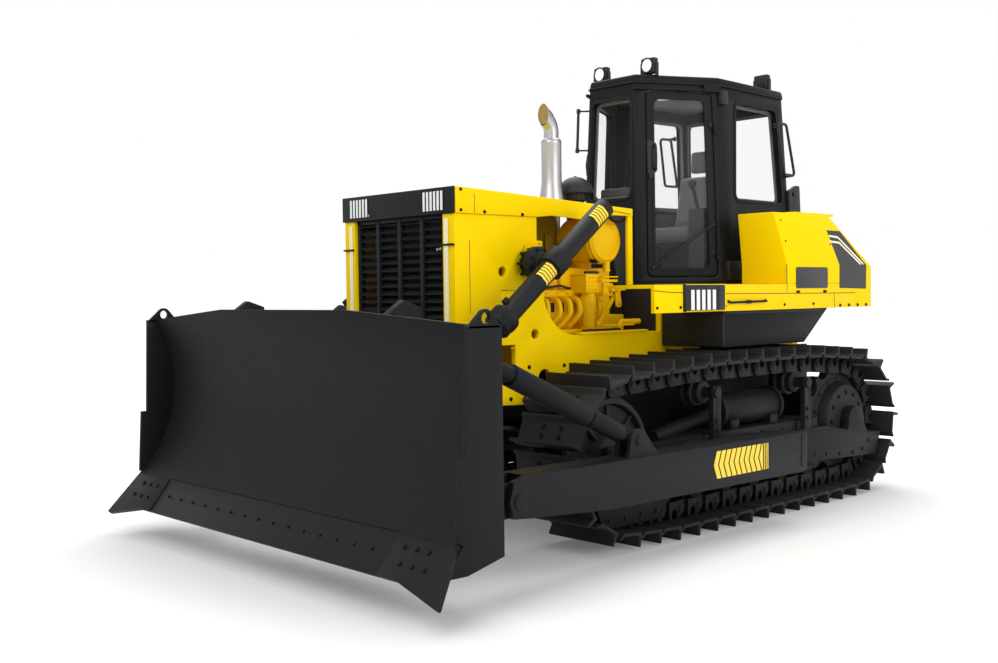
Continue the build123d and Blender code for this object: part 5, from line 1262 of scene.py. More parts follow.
# ---- deck and tanks
@dataclass
class Deck:
    """Fenders, side tanks, their lamp boxes, seams, markings, steps and rails."""

    out: float = 1.2
    box_out: float = 1.225
    box: Pair = (1.78, 2.23)
    knee: float = 1.865
    head: float = 2.262
    lean: float = 0.09
    stripes: int = 5

    def build(self) -> None:
        """Build every group."""
        for node in ("fenders", "side_tanks", "rear_tank"):
            recast(node, YELLOW, soft=0.009, steps=3)
        self._boxes()
        self._seams()
        self._markings()
        self._fittings()

    def _side(self, x: float, z: float) -> Triple:
        """Return the point on the left side at X and Z, on the leaning part above the knee."""
        return x, self.out - self.lean * max(z - self.knee, 0) / (self.head - self.knee), z

    def _boxes(self) -> None:
        """Build the black lamp boxes with their five pale bars."""
        made = Piece("deck_lamp_boxes")
        rear, front = self.box
        made.block((rear - 0.001, 1.15, 1.529), (front + 0.001, self.box_out + 0.001, 1.718), 0.008)
        made.block((1.83, self.box_out - 0.01, 1.535), (1.87, self.box_out + 0.004, 1.7), 0.003)
        made.both_sides().finish(LAMP_BLACK)
        marks = Piece("deck_lamp_bars")
        for i in range(self.stripes):
            x = 1.895 + i * 0.28 / (self.stripes - 0.4)
            marks.block((x, self.box_out, 1.54), (x + 0.036, self.box_out + 0.001 + SKIN, 1.678), 0)
        marks.both_sides().finish(WHITE_MARK)

    def _seams(self) -> None:
        """Draw the panel gaps on the fascia and the service door."""
        seams = Piece("deck_seams")
        lines = [
            ((2.538, 1.676), (2.381, 1.664)), ((2.381, 1.664), (2.231, 1.66)), ((1.779, 1.649), (0.302, 1.64)),
            ((0.964, 1.656), (0.964, 1.863)), ((0.289, 1.522), (0.289, 1.637)), ((0.302, 1.64), (-0.03, 1.64))]
        for start, end in lines:
            seams.plate(Facing.SIDE, strip(start, end, 0.006), self.out - 0.002, self.out + SKIN, 0)
        seams.both_sides().finish(SEAM)

    def _markings(self) -> None:
        """Lay the dark decal at the rear, its two cream lines, and a blank dark plate."""
        decal = Piece("tank_dark_decal")
        low = [(0.212, 1.68), (0.211, self.knee), (-0.208, self.knee), (-0.201, 1.671)]
        decal.plate(Facing.SIDE, low, self.out - 0.001, self.out + SKIN, 0)
        tilt = Matrix.Translation((0, self.out, self.knee)) @ Matrix.Rotation(
            math.atan(self.lean / (self.head - self.knee)), 4, "X")
        high = [(0.211, 0), (0.275, 0.2), (0.304, 0.283), (0.101, 0.282), (-0.208, 0)]
        decal.plate(Facing.SIDE, high, -0.001, SKIN, 0, places=(tilt,))
        decal.both_sides().finish(GREY_MARK)
        lines = Piece("tank_cream_lines")
        for shift, start in ((0, 0.282), (0.045, 0.29)):
            corners = [(start, 0.237 - shift), (0.154 - shift * 0.1, 0.228 - shift), (-0.16 + shift, 0.008)]
            for a, b in zip(corners, corners[1:]):
                lines.plate(Facing.SIDE, strip(a, b, 0.016), 0, 2 * SKIN, 0, places=(tilt,))
        lines.both_sides().finish(CREAM_MARK_AND_HIGHLIGHT)
        plate = Piece("tank_blank_plate")
        plate.plate(Facing.SIDE, rounded_outline(rectangle(0.39, 1.681, 0.842, 1.844), 0.02), self.out - 0.001,
                    self.out + 0.004, 0.001)
        plate.both_sides().finish(GREY_MARK)

    def _fittings(self) -> None:
        """Build the grab bars, clips, tank-top lips, latches, treads and bolt heads."""
        bars = Piece("deck_grab_bars")
        bars.pipe([(1.259, 1.19, 1.6), (1.259, 1.222, 1.59), (1.716, 1.222, 1.585), (1.716, 1.19, 1.6)],
                  0.009, 0.02)
        bars.block((1.46, 1.195, 1.575), (1.5, 1.226, 1.6), 0.003)
        bars.blocks(((x - 0.018, 1.198, 1.645), (x + 0.018, 1.212, 1.664), 0.003) for x in (0.436, 0.817))
        bars.bolts([(0.204 - 0.135 * i, self.out, 1.542) for i in range(4)], 0.01)
        bars.bolts([(x, self.out, 1.56) for x in (0.6, 1.0, 1.75, 2.26, 2.51)], 0.008)
        bars.both_sides().finish(BOLT)
        lips = Piece("tank_top_lips")
        lips.block((0.13, 0.9, self.head - 0.004), (0.7, 1.1, self.head + 0.014), 0.005)
        lips.both_sides().finish(YELLOW)
        spots = [self._side(x, z) for x, z in ((0.93, 2.2), (0.92, 2.04), (0.29, 2.027))]
        Piece("tank_dots").bolts(spots, 0.007, 0.005).both_sides().finish(BOLT)
        treads = Piece("deck_treads")
        treads.blocks(((x - 0.055, y - 0.05, 1.714), (x + 0.055, y + 0.05, 1.7185), 0.002)
                      for x in (1.1, 1.25, 1.4, 1.55, 1.7, 1.95, 2.1, 2.25, 2.4) for y in (0.92, 1.05))
        treads.both_sides().finish(PLASTIC)
        latch = Piece("tank_latches")
        latch.block((0.9, 0.79, 2.1), (0.955, 0.84, 2.28), 0.006)
        latch.bar((0.925, 0.82, 2.2), (0.99, 0.82, 2.2), 0.024)
        latch.both_sides().finish(CAB_BLACK)


# ---- cab
@dataclass(frozen=True)
class Wall:
    """A leaning wall between two plan corners, with one opening."""

    name: str
    start: int  # plan corner where it starts
    opening: tuple[Pair, ...]
    glazed: bool = True


@dataclass
class Cab:
    """The six-sided cab: walls with rounded openings, roof, doors, seat, lamps and rails."""

    plan: tuple[Pair, ...] = (
        (1.64, -0.275), (1.64, 0.275), (0.95, 0.63), (-0.11, 0.575), (-0.11, -0.575), (0.95, -0.63))
    foot: float = 1.735
    head: float = 3.3
    taper: float = math.radians(2.4)
    thick: float = 0.055
    post: float = 0.03  # radius of the corner posts
    door_back: float = 0.716  # rear edge of the door's opening, along its wall
    door_thick: float = 0.045
    door_gap: float = 0.007
    door_rim: float = 0.058
    hinges: Pair = (0.17, 1.18)
    seat_x: float = 0.64
    floor: float = 1.775
    bellows: int = 6  # folds under the seat
    swelling: float = 0.012  # how far the seat's padding may swell
    walls: tuple[Wall, ...] = (
        Wall("front", 0, ((0.05, 0.66), (0.5, 0.66), (0.48, 1.456), (0.07, 1.456))),
        Wall("door", 1, ((0.11, 0.045), (0.716, 0.045), (0.696, 1.506), (0.13, 1.506)), glazed=False),
        Wall("side", 2, ((0.19, 0.66), (0.941, 0.66), (0.881, 1.456), (0.25, 1.456))),
        Wall("rear", 3, ((0.075, 0.66), (1.075, 0.66), (1.055, 1.456), (0.095, 1.456))),
    )

    def build(self) -> None:
        """Build every group."""
        self._shell()
        self._seals()
        self._roof()
        for mirrored in (False, True):
            self._door(mirrored)
        self._inside()
        self._seat()
        self._lamps()
        self._rails()

    def _frame(self, start: int) -> Matrix:
        """Return the frame of the wall that starts at a plan corner: X along it, Y up it, Z outwards."""
        a, b = self.plan[start], self.plan[(start + 1) % 6]
        along = Vector((b[0] - a[0], b[1] - a[1], 0)).normalized()
        outward = Vector((along.y, -along.x, 0))
        up = (Vector(UP) - outward * math.tan(self.taper)).normalized()
        turn = Matrix((along, up, along.cross(up))).transposed().to_4x4()
        return Matrix.Translation((*a, self.foot)) @ turn

    def _places(self, wall: Wall) -> tuple[Matrix, ...]:
        """Return where a wall stands: once at the front and rear, and on both sides of the machine."""
        place = self._frame(wall.start)
        return (place,) if wall.name in ("front", "rear") else (place, MIRROR @ place)

    def _wall_outline(self, start: int) -> list[Pair]:
        """Return a wall's outline between its corner posts."""
        corners = [Vector(self.plan[(start + i) % 6]) for i in (-1, 0, 1, 2)]
        runs = [(b - a).normalized() for a, b in zip(corners, corners[1:])]
        length = (corners[2] - corners[1]).length
        drop = (self.head - self.foot) * math.tan(self.taper)
        tall = (self.head - self.foot) / math.cos(self.taper)
        left, right = (math.tan(abs(a.angle_signed(b)) / 2) for a, b in zip(runs, runs[1:]))
        foot, head = self.post, self.post + drop
        return [(foot * left, 0), (length - foot * right, 0), (length - head * right, tall), (head * left, tall)]

    def _shell(self) -> None:
        """Build the walls, the corner posts, the floor and the cab's halves of the hinges."""
        made = Piece("cab_shell_walls")
        for wall in self.walls:
            made.plate(Facing.TOP, self._wall_outline(wall.start), -self.thick, 0, places=self._places(wall),
                       holes=[rounded_outline(wall.opening, 0.06 if wall.glazed else 0.045)])
        drop = (self.head - self.foot) * math.tan(self.taper)
        for low, high in zip(grow(self.plan, -self.post), grow(self.plan, -self.post - drop)):
            made.bar((*low, self.foot), (*high, self.head), self.post, sides=20)
        made.plate(Facing.TOP, grow(self.plan, -0.04), self.foot, self.floor, 0.003)
        made.finish(CAB_BLACK, replaces=("cab_shell",))
        hinge, place, x = Piece("cab_hinge_halves"), self._frame(1), self.door_back
        pin = place @ Matrix.Translation((x - 0.01, 0, 0.014))
        for y in self.hinges:
            hinge.block((x - 0.002, y - 0.01, -0.002), (x + 0.038, y + 0.05, 0.008), 0.003, place)
            for tall, radius in ((0.045, 0.011), (0.096, 0.006)):
                hinge.bar((0, y, 0), (0, y + tall, 0), radius, places=(pin,))
        hinge.block((x - 0.1, 1.5, 0), (x + 0.05, 1.56, 0.03), 0.008, place)
        hinge.block((0.02, 1.505, 0), (0.76, 1.53, 0.024), 0.005, place)
        hinge.both_sides().finish(CAB_BLACK)

    def _seals(self) -> None:
        """Lay a rubber seal around every pane, and a grey reveal inside it."""
        rubber, reveal = Piece("cab_window_seals"), Piece("cab_window_reveals")
        for wall in self.walls:
            if not wall.glazed:
                continue
            outer, middle, inner = (rounded_outline(grow(wall.opening, reach), 0.06 + reach)
                                    for reach in (0.013, 0, -0.012))
            narrow = rounded_outline(grow(wall.opening, -0.03), 0.035)
            for place in self._places(wall):
                rubber.ring(outer, inner, 0.006, place @ Matrix.Translation((0, 0, -0.001)))
                reveal.ring(middle, narrow, 0.012, place @ Matrix.Translation((0, 0, -self.thick - 0.006)))
        rubber.finish(RUBBER)
        reveal.finish(FRAME_GREY)
        dress("cab_glass", GLASS)

    def _roof(self) -> None:
        """Build the roof with a raised panel and its gutter."""
        recast("cab_roof", CAB_BLACK, soft=0.016, steps=4)
        made = Piece("cab_roof_panel")
        panel, outer, inner = (rounded_outline(grow(self.plan, -reach), radius)
                               for reach, radius in ((0.2, 0.12), (0.052, 0.05), (0.075, 0.04)))
        made.plate(Facing.TOP, panel, 3.356, 3.374, 0.006)
        made.ring(outer, inner, 0.012, Matrix.Translation((0, 0, 3.292)))
        made.finish(CAB_BLACK)
        lining = Piece("cab_roof_lining").plate(Facing.TOP, grow(self.plan, -0.14), 3.27, 3.305, 0.006)
        lining.finish(CONSOLE_GREY)
        Piece("cab_dome_light").block((0.86, -0.07, 3.262), (0.98, 0.07, 3.274), 0.005).finish(LENS)

    def _door(self, mirrored: bool) -> None:
        """Build one door: a rounded frame with a seal, straps, a pull handle and a slanted bar."""
        side = "right" if mirrored else "left"
        body = Body.DOOR_RIGHT if mirrored else Body.DOOR_LEFT
        place, hole, rim = self._frame(1), self.walls[1].opening, -self.door_rim
        made = Piece(f"door_{side}_frame")
        made.plate(Facing.TOP, rounded_outline(grow(hole, -self.door_gap), 0.04), -self.door_thick, 0,
                   places=(place,), holes=[rounded_outline(grow(hole, rim), 0.06)])
        at = self.door_back - 0.01
        for y in self.hinges:
            foot, head = y + 0.047, y + 0.09
            made.block((at - 0.05, foot - 0.01, -0.002), (at - 0.007, head + 0.01, 0.008), 0.003, place)
            made.bar((at, foot, 0.014), (at, head, 0.014), 0.011, places=(place,))
        made.finish(CAB_BLACK, body, (f"door_{side}",), mirrored=mirrored)
        seal = Piece(f"door_{side}_seal")
        outer, inner = (rounded_outline(grow(hole, rim + reach), radius)
                        for reach, radius in ((0.012, 0.07), (-0.013, 0.05)))
        seal.ring(outer, inner, 0.006, place @ Matrix.Translation((0, 0, -0.001)))
        seal.finish(RUBBER, body, mirrored=mirrored)
        fittings = Piece(f"door_{side}_fittings")
        handle = [(0.19, 0.885, 0), (0.188, 0.89, 0.034), (0.188, 0.98, 0.044), (0.19, 1.07, 0.034),
                  (0.19, 1.075, 0)]
        fittings.pipe(put(place, handle), 0.011, 0.04)
        plate = rounded_outline([(0.13, 0.83), (0.213, 0.87), (0.213, 1.09), (0.13, 1.13)], 0.03)
        fittings.plate(Facing.TOP, plate, -0.006, 0.006, 0.002, (place,))
        low, high = (0.155, 0.12), (0.68, 0.46)  # ends of the slanted bar
        for start, end, radius in (
                ((0.15, 0.83, 0), (0.15, 0.83, 0.02), 0.016), ((*low, 0.012), (*high, 0.012), 0.008),
                ((*low, -0.004), (*low, 0.018), 0.013), ((*high, -0.004), (*high, 0.018), 0.013)):
            fittings.bar(start, end, radius, places=(place,))
        spots = put(place, [(at - 0.034, y + 0.068, 0.008) for y in self.hinges])
        fittings.bolts(spots, 0.008, 0.005, place.col[2].xyz)
        fittings.finish(LAMP_BLACK, body, mirrored=mirrored)
        dress(f"door_glass_{side}", DOOR_GLASS)

    def _inside(self) -> None:
        """Build the consoles, the levers and the dash."""
        recast("console", CONSOLE_GREY, soft=0.016, steps=3)
        recast("dash_cowl", PLASTIC, soft=0.02, steps=3)
        made = Piece("dash_cluster")
        made.block((1.4, -0.2, 2.36), (1.5, 0.2, 2.5), 0.02)
        made.bar((1.45, 0, 2.3), (1.45, 0, 2.37), 0.03)
        for y in (-0.12, 0.12):
            made.block((-0.06, -0.05, -0.01), (0.06, 0.05, 0.005),
                       place=Matrix.Translation((1.26, y, 1.87)) @ Matrix.Rotation(-0.5, 4, "Y"))
        made.finish(CONSOLE_GREY)

    def _seat(self) -> None:
        """Build the suspension base and the padded cushion, back and headrest."""
        x, floor = self.seat_x, self.floor
        base = Piece("seat_base")
        base.block((x - 0.17, -0.17, floor), (x + 0.17, 0.17, floor + 0.05), 0.01)
        for i in range(self.bellows):
            half, foot = 0.138 if i % 2 else 0.15, floor + 0.05 + 0.036 * i
            base.block((x - half, -half, foot), (x + half, half, foot + 0.038), 0.006)
        base.block((x - 0.2, -0.23, floor + 0.266), (x + 0.26, 0.23, floor + 0.302), 0.008)
        base.finish(PLASTIC, replaces=("seat",))
        # outlines are given from the seat's middle and the floor
        pads = (
            ("seat_cushion", [(-0.2, 0.31), (0.29, 0.31), (0.29, 0.42), (-0.2, 0.41)], 0.24, 0.045),
            ("seat_back", [(-0.2, 0.43), (-0.095, 0.43), (-0.196, 0.89), (-0.292, 0.89)], 0.225, 0.04),
            ("seat_headrest", [(-0.28, 0.91), (-0.206, 0.91), (-0.222, 1.1), (-0.284, 1.1)], 0.12, 0.03),
        )
        for name, outline, half, soft in pads:
            placed = [(x + ahead, floor + rise) for ahead, rise in outline]
            made = Piece(name).plate(Facing.SIDE, placed, -half, half, soft).finish(SEAT_CLOTH)
            swell(made, self.swelling)
            smooth = made.modifiers.new("smooth", "SUBSURF")
            smooth.levels = smooth.render_levels = 1

    def _lamps(self) -> None:
        """Build the work lamps: square housings on brackets with round pale lenses."""
        box, lens = Piece("work_lamp_housings"), Piece("work_lamp_lenses")
        z = self.head + 0.14
        for x, y, facing in ((1.405, 0.248, 1), (0.1, 0.407, -1)):
            # half depth, ends across, foot, head and rounding of the housing, its foot and its bracket
            for deep, left, right, foot, head, soft in (
                    (0.03, -0.068, 0.068, -0.066, 0.06, 0.014), (0.015, -0.02, 0.02, -0.09, -0.05, 0.003),
                    (0.018, -0.078, -0.072, -0.08, 0.02, 0.001), (0.018, 0.072, 0.078, -0.08, 0.02, 0.001),
                    (0.018, -0.078, 0.078, -0.084, -0.078, 0.001)):
                box.block((x - deep, y + left, z + foot), (x + deep, y + right, z + head), soft)
            face, ahead = (x + 0.028 * facing, y, z), (facing, 0, 0)
            box.lathe(face, ahead, [(0.05, 0), (0.06, 0), (0.06, 0.01), (0.05, 0.01)], closed=True)
            lens.lathe(face, ahead, [(0, 0), (0.05, 0), (0.05, 0.004), (0.035, 0.009), (0, 0.012)])
        box.both_sides().finish(LAMP_BLACK, replaces=("work_lights",))
        lens.both_sides().finish(LENS)

    def _rails(self) -> None:
        """Build the grab rails: a rounded loop on each side, and an upright one at the front right."""
        made, side, off = Piece("cab_grab_rails"), self._frame(2), 0.085  # rails' distance from the walls
        loop = [(0.75, 1.325, off), (0.895, 1.325, off), (1.0, 0.9, off), (0.83, 0.9, off)]
        made.pipe(put(side, loop), 0.012, 0.035, closed=True)
        for x, y in ((0.85, 1.325), (0.98, 0.9)):
            for far, radius in ((off, 0.011), (0.006, 0.022)):
                made.bar((x, y, -0.004), (x, y, far), radius, places=(side,))
        made.both_sides()
        upright, x = (MIRROR @ self._frame(1),), 0.034
        made.bar((x, 1.06, off), (x, 1.415, off), 0.011, places=upright)
        for y in (1.08, 1.395):
            made.bar((x, y, -0.01), (x, y, off), 0.007, places=upright)
            made.bar((x, y - 0.018, off), (x, y + 0.018, off), 0.016, places=upright)
        bracket = rounded_outline([(1.0, 0.6), (1.19, 0.6), (1.19, 0.83), (1.12, 0.83), (1.0, 0.78)], 0.02)
        both = (side, MIRROR @ side)
        made.plate(Facing.TOP, bracket, 0, 0.022, places=both, holes=[circle(1.07, 0.752, 0.02, 20)])
        for foot, head, wide in ((0.02, 0.17, 0.2), (1.41, 1.52, 0.09)):
            for place in both:
                made.block((0.002, foot, -0.004), (wide, head, 0.04), 0.006, place)
        made.finish(LAMP_BLACK, replaces=("handrails",))


CLOTH_VOXEL, CLOTH_PRESSURE, CLOTH_FRAMES = 0.007, 4.0, 20


def swell(pad: bpy.types.Object, most: float) -> None:
    """Swell a pad under pressure with a cloth run, and keep the result in its mesh.

    Args:
        pad: the pad, which is closed.
        most: how far any point may move, in metres.
    """
    scene = bpy.context.scene
    remesh = pad.modifiers.new("remesh", "REMESH")
    remesh.mode, remesh.voxel_size = "VOXEL", CLOTH_VOXEL
    even = bpy.data.meshes.new_from_object(pad.evaluated_get(bpy.context.evaluated_depsgraph_get()))
    pad.modifiers.clear()
    old, pad.data = pad.data, even
    bpy.data.meshes.remove(old)
    start = [corner.co.copy() for corner in even.vertices]
    cloth = pad.modifiers.new("cloth", "CLOTH")
    cloth.settings.use_pressure, cloth.settings.uniform_pressure_force = True, CLOTH_PRESSURE
    cloth.settings.effector_weights.gravity = 0.0
    for step in range(1, CLOTH_FRAMES + 1):
        scene.frame_set(step)
    swollen = pad.evaluated_get(bpy.context.evaluated_depsgraph_get()).data
    moves = [corner.co - place for corner, place in zip(swollen.vertices, start)]
    pad.modifiers.clear()
    for corner, place, move in zip(even.vertices, start, moves):
        corner.co = place + move * min(1.0, most / max(move.length, 1e-9))
    scene.frame_set(1)
    even.shade_smooth()
    LOG.info("%s: swollen, %d points", pad.name, len(start))


# ---- blade, arms and cylinders
@dataclass
class Blade:
    """The blade: a hollow crowned face on shelves, ribs and end plates, with bolted edges and bits."""

    back: float = 4.44
    half: float = 1.75
    face: Triple = (5.345, 1.046, 0.86)  # the hollow's axis, as X and height, and its radius
    foot: float = 0.42
    top: float = 1.588
    ends_top: float = 1.51
    level: float = 0.7  # half width of the level part of the crown
    shell: float = 0.03
    end_plate: float = 0.025
    tip: Pair = (4.915, 0.216)
    edge_slope: Pair = (-0.6164, 0.7874)
    edge_tall: float = 0.259
    edge_half: float = 1.28
    proud: float = 0.008  # bits beyond the middle edge
    lift_y: float = 0.85
    arm_y: float = 1.45
    ear: Pair = (4.55, 1.547)  # hole of the lifting ears
    bolts: int = 15  # in the middle edge

    def build(self) -> None:
        """Build the body of the blade, then the edges."""
        made = Piece("moldboard_body")
        made.absorb(self._hollow())
        self._box_beams(made)
        self._ribs(made)
        self._ends(made)
        self._lugs(made)
        made.finish(BLADE_BLACK, Body.BLADE, ("moldboard",))
        recast("cutting_edges", EDGE, Body.BLADE, soft=0.004)
        self._edge_bolts()

    def _face_x(self, z: float, behind: float = 0.0) -> float:
        """Return X of the hollow face at a height, or of a surface this far behind it."""
        x, level, reach = self.face
        return x - math.sqrt((reach + behind) ** 2 - (z - level) ** 2)

    def _crown(self, y: float) -> float:
        """Return the height of the top edge: level in the middle, falling to the ends."""
        fall = (self.top - self.ends_top) / (self.half - self.level)
        return self.top - max(abs(y) - self.level, 0) * fall

    def _edge_place(self) -> Matrix:
        """Return the frame of the cutting edge: X along the blade, Y up the edge, Z out of it."""
        slope, across = Vector((self.edge_slope[0], 0, self.edge_slope[1])), Vector(LEFT)
        turn = Matrix((across, slope, across.cross(slope))).transposed().to_4x4()
        return Matrix.Translation((self.tip[0], 0, self.tip[1])) @ turn

    def _hollow(self) -> bmesh.types.BMesh:
        """Return the face: a grid bent to the arc under the crown, given its thickness."""
        shape = bmesh.new()
        bmesh.ops.create_grid(shape, x_segments=20, y_segments=28, size=1.0)
        for corner in shape.verts:
            y = corner.co.x * (self.half - self.end_plate)
            z = self.foot + (corner.co.y + 1) / 2 * (self._crown(y) - self.foot)
            corner.co = (self._face_x(z), y, z)
        thicken(shape, (-self.shell, 0, 0))
        return shape

    def _box_beams(self, made: Piece) -> None:
        """Add the strip behind the edge, the shelves, and the plates that close the box beams."""
        half, place = self.half - 0.01, self._edge_place()
        made.block((-half, 0.05, -0.06), (half, self.edge_tall, -self.shell), 0.003, place)
        for sign in (-1, 1):
            made.block((sign * self.edge_half, 0.235, -0.034), (sign * half, self.edge_tall + 0.004, -0.001),
                       0, place)
        for z in (0.6, 1.28, 1.495):
            made.block((self.back + 0.002, -half, z), (self._face_x(z, 0.015), half, z + 0.015), 0.002)
        for low, high in ((0.33, 0.615), (1.28, self.ends_top)):
            made.block((self.back, -half, low), (self.back + 0.014, half, high), 0.003)
        sill = [(self.back, 0.33), (self.back, 0.345), (4.786, 0.3), (4.798, 0.285)]
        made.plate(Facing.SIDE, sill, -half, half, 0.002)

    def _ribs(self, made: Piece) -> None:
        """Add the ribs behind the face, two of them with a gable above the blade."""
        def web(head: float) -> list[Pair]:
            """Return a rib's outline up to a height."""
            rise = [self.foot + 0.005 + (head - self.foot - 0.005) * i / 12 for i in range(13)]
            return [*((self._face_x(z, 0.015), z) for z in rise), (self.back, head), (self.back, rise[0])]
        for y in (-1.18, -0.42, 0.0, 0.42, 1.18):
            made.plate(Facing.SIDE, web(1.508), y - 0.014, y + 0.014, 0.002)
        gable = [(0.08, 1.55), (-0.054, 1.64), (-0.178, 1.598), (-0.19, 1.45), (0.005, 1.25), (0.05, 1.25)]
        for y in (-self.lift_y, self.lift_y):
            made.plate(Facing.SIDE, web(1.56), y - 0.027, y + 0.027, 0.002)
            made.plate(Facing.SIDE, [(self.back + x, z) for x, z in gable], y - 0.027, y + 0.027, 0.005)

    def _ends(self, made: Piece) -> None:
        """Add the end plates with their wider feet, and the rounded lifting ears."""
        outline = [
            (self.back, 0.312), (4.694, 0.253), (4.844, 0.255), (4.7225, 0.41), (4.762, 0.43), (4.74, 0.855),
            (4.698, 0.855), (4.68, self.ends_top), (self.back, self.ends_top)]
        x, z = self.ear
        ear = [(4.678, 1.495), *arc(x, z, 0.047, 40, 140, 10), (4.442, 1.495)]
        for start in (-self.half, self.half - self.end_plate):
            for plate, holes in ((outline, ()), (ear, [circle(x, z, 0.03)])):
                made.plate(Facing.SIDE, plate, start, start + self.end_plate, 0.002, holes=holes)

    def _lugs(self, made: Piece) -> None:
        """Add the lugs for the lift rods, the push arms and the braces."""
        x = self.back
        cheek = [(x + 0.02, 0.79), (x - 0.16, 0.875), (x - 0.21, 0.96), (x - 0.16, 1.025), (x + 0.02, 1.11)]
        heel = [(x + 0.01, 0.42), (x - 0.33, 0.44), (x - 0.345, 0.53), (x - 0.33, 0.62), (x + 0.01, 0.64)]
        fork = [(x + 0.01, 1.21), (x - 0.11, 1.275), (x - 0.135, 1.33), (x - 0.11, 1.385), (x + 0.01, 1.45)]
        for sign in (-1, 1):
            y, arm_y = sign * self.lift_y, sign * self.arm_y
            for side in (-1, 1):
                near, far = sorted((y + side * 0.037, y + side * 0.069))
                made.plate(Facing.SIDE, cheek, near, far)
                made.bar((4.3, y + side * 0.068, 0.95), (4.3, y + side * 0.081, 0.95), 0.042)
                near, far = sorted((arm_y + side * 0.034, arm_y + side * 0.062))
                made.plate(Facing.SIDE, fork, near, far, holes=[circle(4.362, 1.33, 0.03)])
            made.block((x + 0.006, y - 0.069, 0.79), (x + 0.038, y + 0.069, 1.11), 0.003)
            made.plate(Facing.SIDE, heel, arm_y - 0.06, arm_y + 0.06, 0.006,
                       holes=[circle(4.148, 0.53, 0.0425)])

    def _edge_bolts(self) -> None:
        """Bolt the middle edge and the end bits on."""
        place = self._edge_place()
        middle = [(-1.16 + 0.164 * i, 0.135, 0) for i in range(self.bolts)]
        ends = [(sign * (u + lean), v, self.proud) for sign in (-1, 1) for u in (1.38, 1.48, 1.58)
                for v, lean in ((0.09, 0.03), (0.185, 0.0))]
        for name, spots, radius in (("edge_bolts", middle, 0.007), ("end_bit_bolts", ends, 0.011)):
            Piece(name).bolts(put(place, spots), radius, 0.006, place.col[2].xyz).finish(BOLT, Body.BLADE)


@dataclass
class Arms:
    """The push arms with their chevron bands, and the screw braces."""

    out: float = 1.56
    front: float = 2.35
    foot: float = 0.443
    head: float = 0.622
    chevrons: int = 9
    spacing: float = 0.057
    wide: float = 0.043
    point: float = 0.035
    bars: int = 3  # behind the chevrons

    def build(self) -> None:
        """Build the arms, their bands, and the braces."""
        recast("push_arms", BLACK, Body.BLADE, soft=0.012, steps=3)
        recast("braces", BLADE_BLACK, Body.BLADE, soft=0.006)
        bands, foot, head, wide = Piece("push_arm_chevrons"), self.foot, self.head, self.wide
        middle = (foot + head) / 2
        outlines = []
        for x in (self.front - i * self.spacing for i in range(self.chevrons)):
            outlines.append([(x, head), (x + self.point, middle), (x, foot), (x - wide, foot),
                             (x - wide + self.point, middle), (x - wide, head)])
        rear = self.front - self.chevrons * self.spacing
        outlines.append([(rear, head), (rear + self.point, middle), (rear, foot), (rear - 0.008, foot),
                         (rear - 0.008, head)])
        for x in (rear - 0.022 - i * 0.021 for i in range(self.bars)):
            outlines.append(rectangle(x - 0.009, foot, x, head))
        for outline in outlines:
            bands.plate(Facing.SIDE, outline, self.out - 0.001, self.out + SKIN, 0)
        bands.both_sides().finish(YELLOW_MARK, Body.BLADE)
        ends, seam = Piece("push_arm_details"), strip((1.34, 0.41), (1.34, 0.64), 0.012)
        ends.plate(Facing.SIDE, seam, self.out - 0.002, self.out + 0.003, 0.001)
        ends.both_sides().finish(BLACK, Body.BLADE)


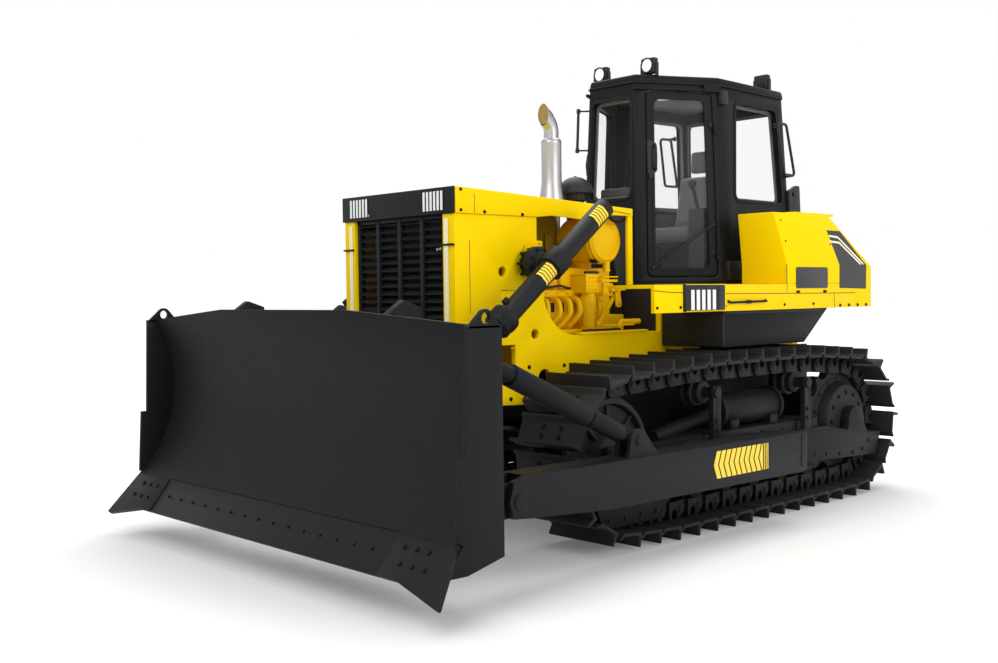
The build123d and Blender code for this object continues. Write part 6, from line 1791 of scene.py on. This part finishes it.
@dataclass
class Lift:
    """The two lift cylinders and the yokes that they turn in."""

    yoke: Pair = (3.12, 1.865)
    eye: Pair = (4.3, 0.95)
    y: float = 0.85
    barrel: float = 0.068
    stripe_turn: float = 1.15  # how far the marks reach to each side, in radians
    seat: float = 0.585  # the yokes' foot on the body
    ribs: int = 8  # round a yoke, with a bolt between each two
    stripes: int = 5

    def build(self) -> None:
        """Build the yokes, then each cylinder."""
        self._yokes()
        for mirrored in (False, True):
            self._cylinder(mirrored)

    def _yokes(self) -> None:
        """Build the yokes: a flange ringed with bolts, ribs and a bearing."""
        x, z = self.yoke
        made = Piece("cylinder_yokes_body")
        made.lathe((x, self.seat, z), LEFT, [
            (0, 0), (0.06, 0), (0.066, 0.06), (0.1, 0.075), (0.112, 0.085), (0.112, 0.13), (0.1, 0.142),
            (0.075, 0.15), (0.07, 0.196), (0, 0.196)], sides=48)
        for i in range(self.ribs):
            turn = Matrix.Translation((x, 0, z)) @ Matrix.Rotation(2 * math.pi * i / self.ribs, 4, "Y")
            made.block((0.05, self.seat + 0.02, -0.009), (0.105, self.seat + 0.09, 0.009), 0.003, turn)
        made.both_sides().finish(BLACK, replaces=("cylinder_yokes",))
        bolts = Piece("cylinder_yoke_bolts")
        ring = bolt_circle((x, self.seat + 0.138, z), 0.092, self.ribs, math.pi / self.ribs)
        bolts.bolts(ring, 0.011, 0.01)
        bolts.both_sides().finish(BOLT)

    def _cylinder(self, mirrored: bool) -> None:
        """Build one cylinder: barrel, gland, marks and rod."""
        side = "right" if mirrored else "left"
        barrel_body = Body.BARREL_RIGHT if mirrored else Body.BARREL_LEFT
        rod_body = Body.ROD_RIGHT if mirrored else Body.ROD_LEFT
        start = Vector((self.yoke[0], self.y, self.yoke[1]))
        ahead = (Vector((self.eye[0], self.y, self.eye[1])) - start).normalized()
        turn = Matrix((Vector(LEFT).cross(ahead), Vector(LEFT), ahead)).transposed().to_4x4()
        place = Matrix.Translation(start) @ turn
        made = Piece.from_node(f"lift_barrel_{side}", 0.006)
        rod = Piece.from_node(f"lift_rod_{side}", 0.004)
        if mirrored:
            for piece in (made, rod):
                bmesh.ops.transform(piece.mesh, matrix=MIRROR, verts=piece.mesh.verts)
        made.lathe(start, ahead, [
            (0.069, 0.545), (0.094, 0.55), (0.096, 0.556), (0.096, 0.6), (0.09, 0.606), (0.09, 0.655),
            (0.084, 0.662), (0.034, 0.662), (0.034, 0.656)], sides=40)
        made.block((-0.095, -0.014, 0.475), (-0.066, 0.014, 0.52), place=place)
        ring = [(0.07 * math.cos(angle), 0.07 * math.sin(angle), 0.662)
                for angle in (math.pi * (i + 0.5) / 4 for i in range(8))]
        made.bolts(put(place, ring), 0.011, 0.012, ahead)
        made.finish(BLACK, barrel_body, (f"lift_barrel_{side}",), mirrored=mirrored)
        marks = Piece(f"lift_barrel_marks_{side}")
        for at in (0.074, -0.56):
            for i in range(self.stripes):
                marks.absorb(self._stripe(at + i * 0.026), (place,))
        marks.finish(YELLOW_MARK, barrel_body, mirrored=mirrored)
        rod.finish(CHROME, rod_body, (f"lift_rod_{side}",), mirrored=mirrored)

    def _stripe(self, low: float) -> bmesh.types.BMesh:
        """Return a wavy stripe bent round the outer side of a barrel, from this place along it."""
        shape = bmesh.new()
        bmesh.ops.create_grid(shape, x_segments=24, y_segments=1, size=1.0)
        for corner in shape.verts:
            turn = math.pi / 2 + self.stripe_turn * corner.co.x
            wave = 0.005 * abs(turn * 7 / math.pi % 2 - 1)
            along = low + 0.009 * (corner.co.y + 1) + wave
            corner.co = (self.barrel * math.cos(turn), self.barrel * math.sin(turn), along)
        bmesh.ops.recalc_face_normals(shape, faces=shape.faces)
        for corner in thicken(shape, (0, 0, 0)):
            corner.co.xy = corner.co.xy.normalized() * (self.barrel + SKIN)
        return shape


def main() -> None:
    """Build everything."""
    logging.basicConfig(level=logging.INFO, format="%(message)s")
    for part in (Studio(), Crawler(), MainFrame(), EngineBay(), Nose(), Deck(), Cab(), Blade(), Arms(), Lift()):
        part.build()


if __name__ == "__main__":
    main()
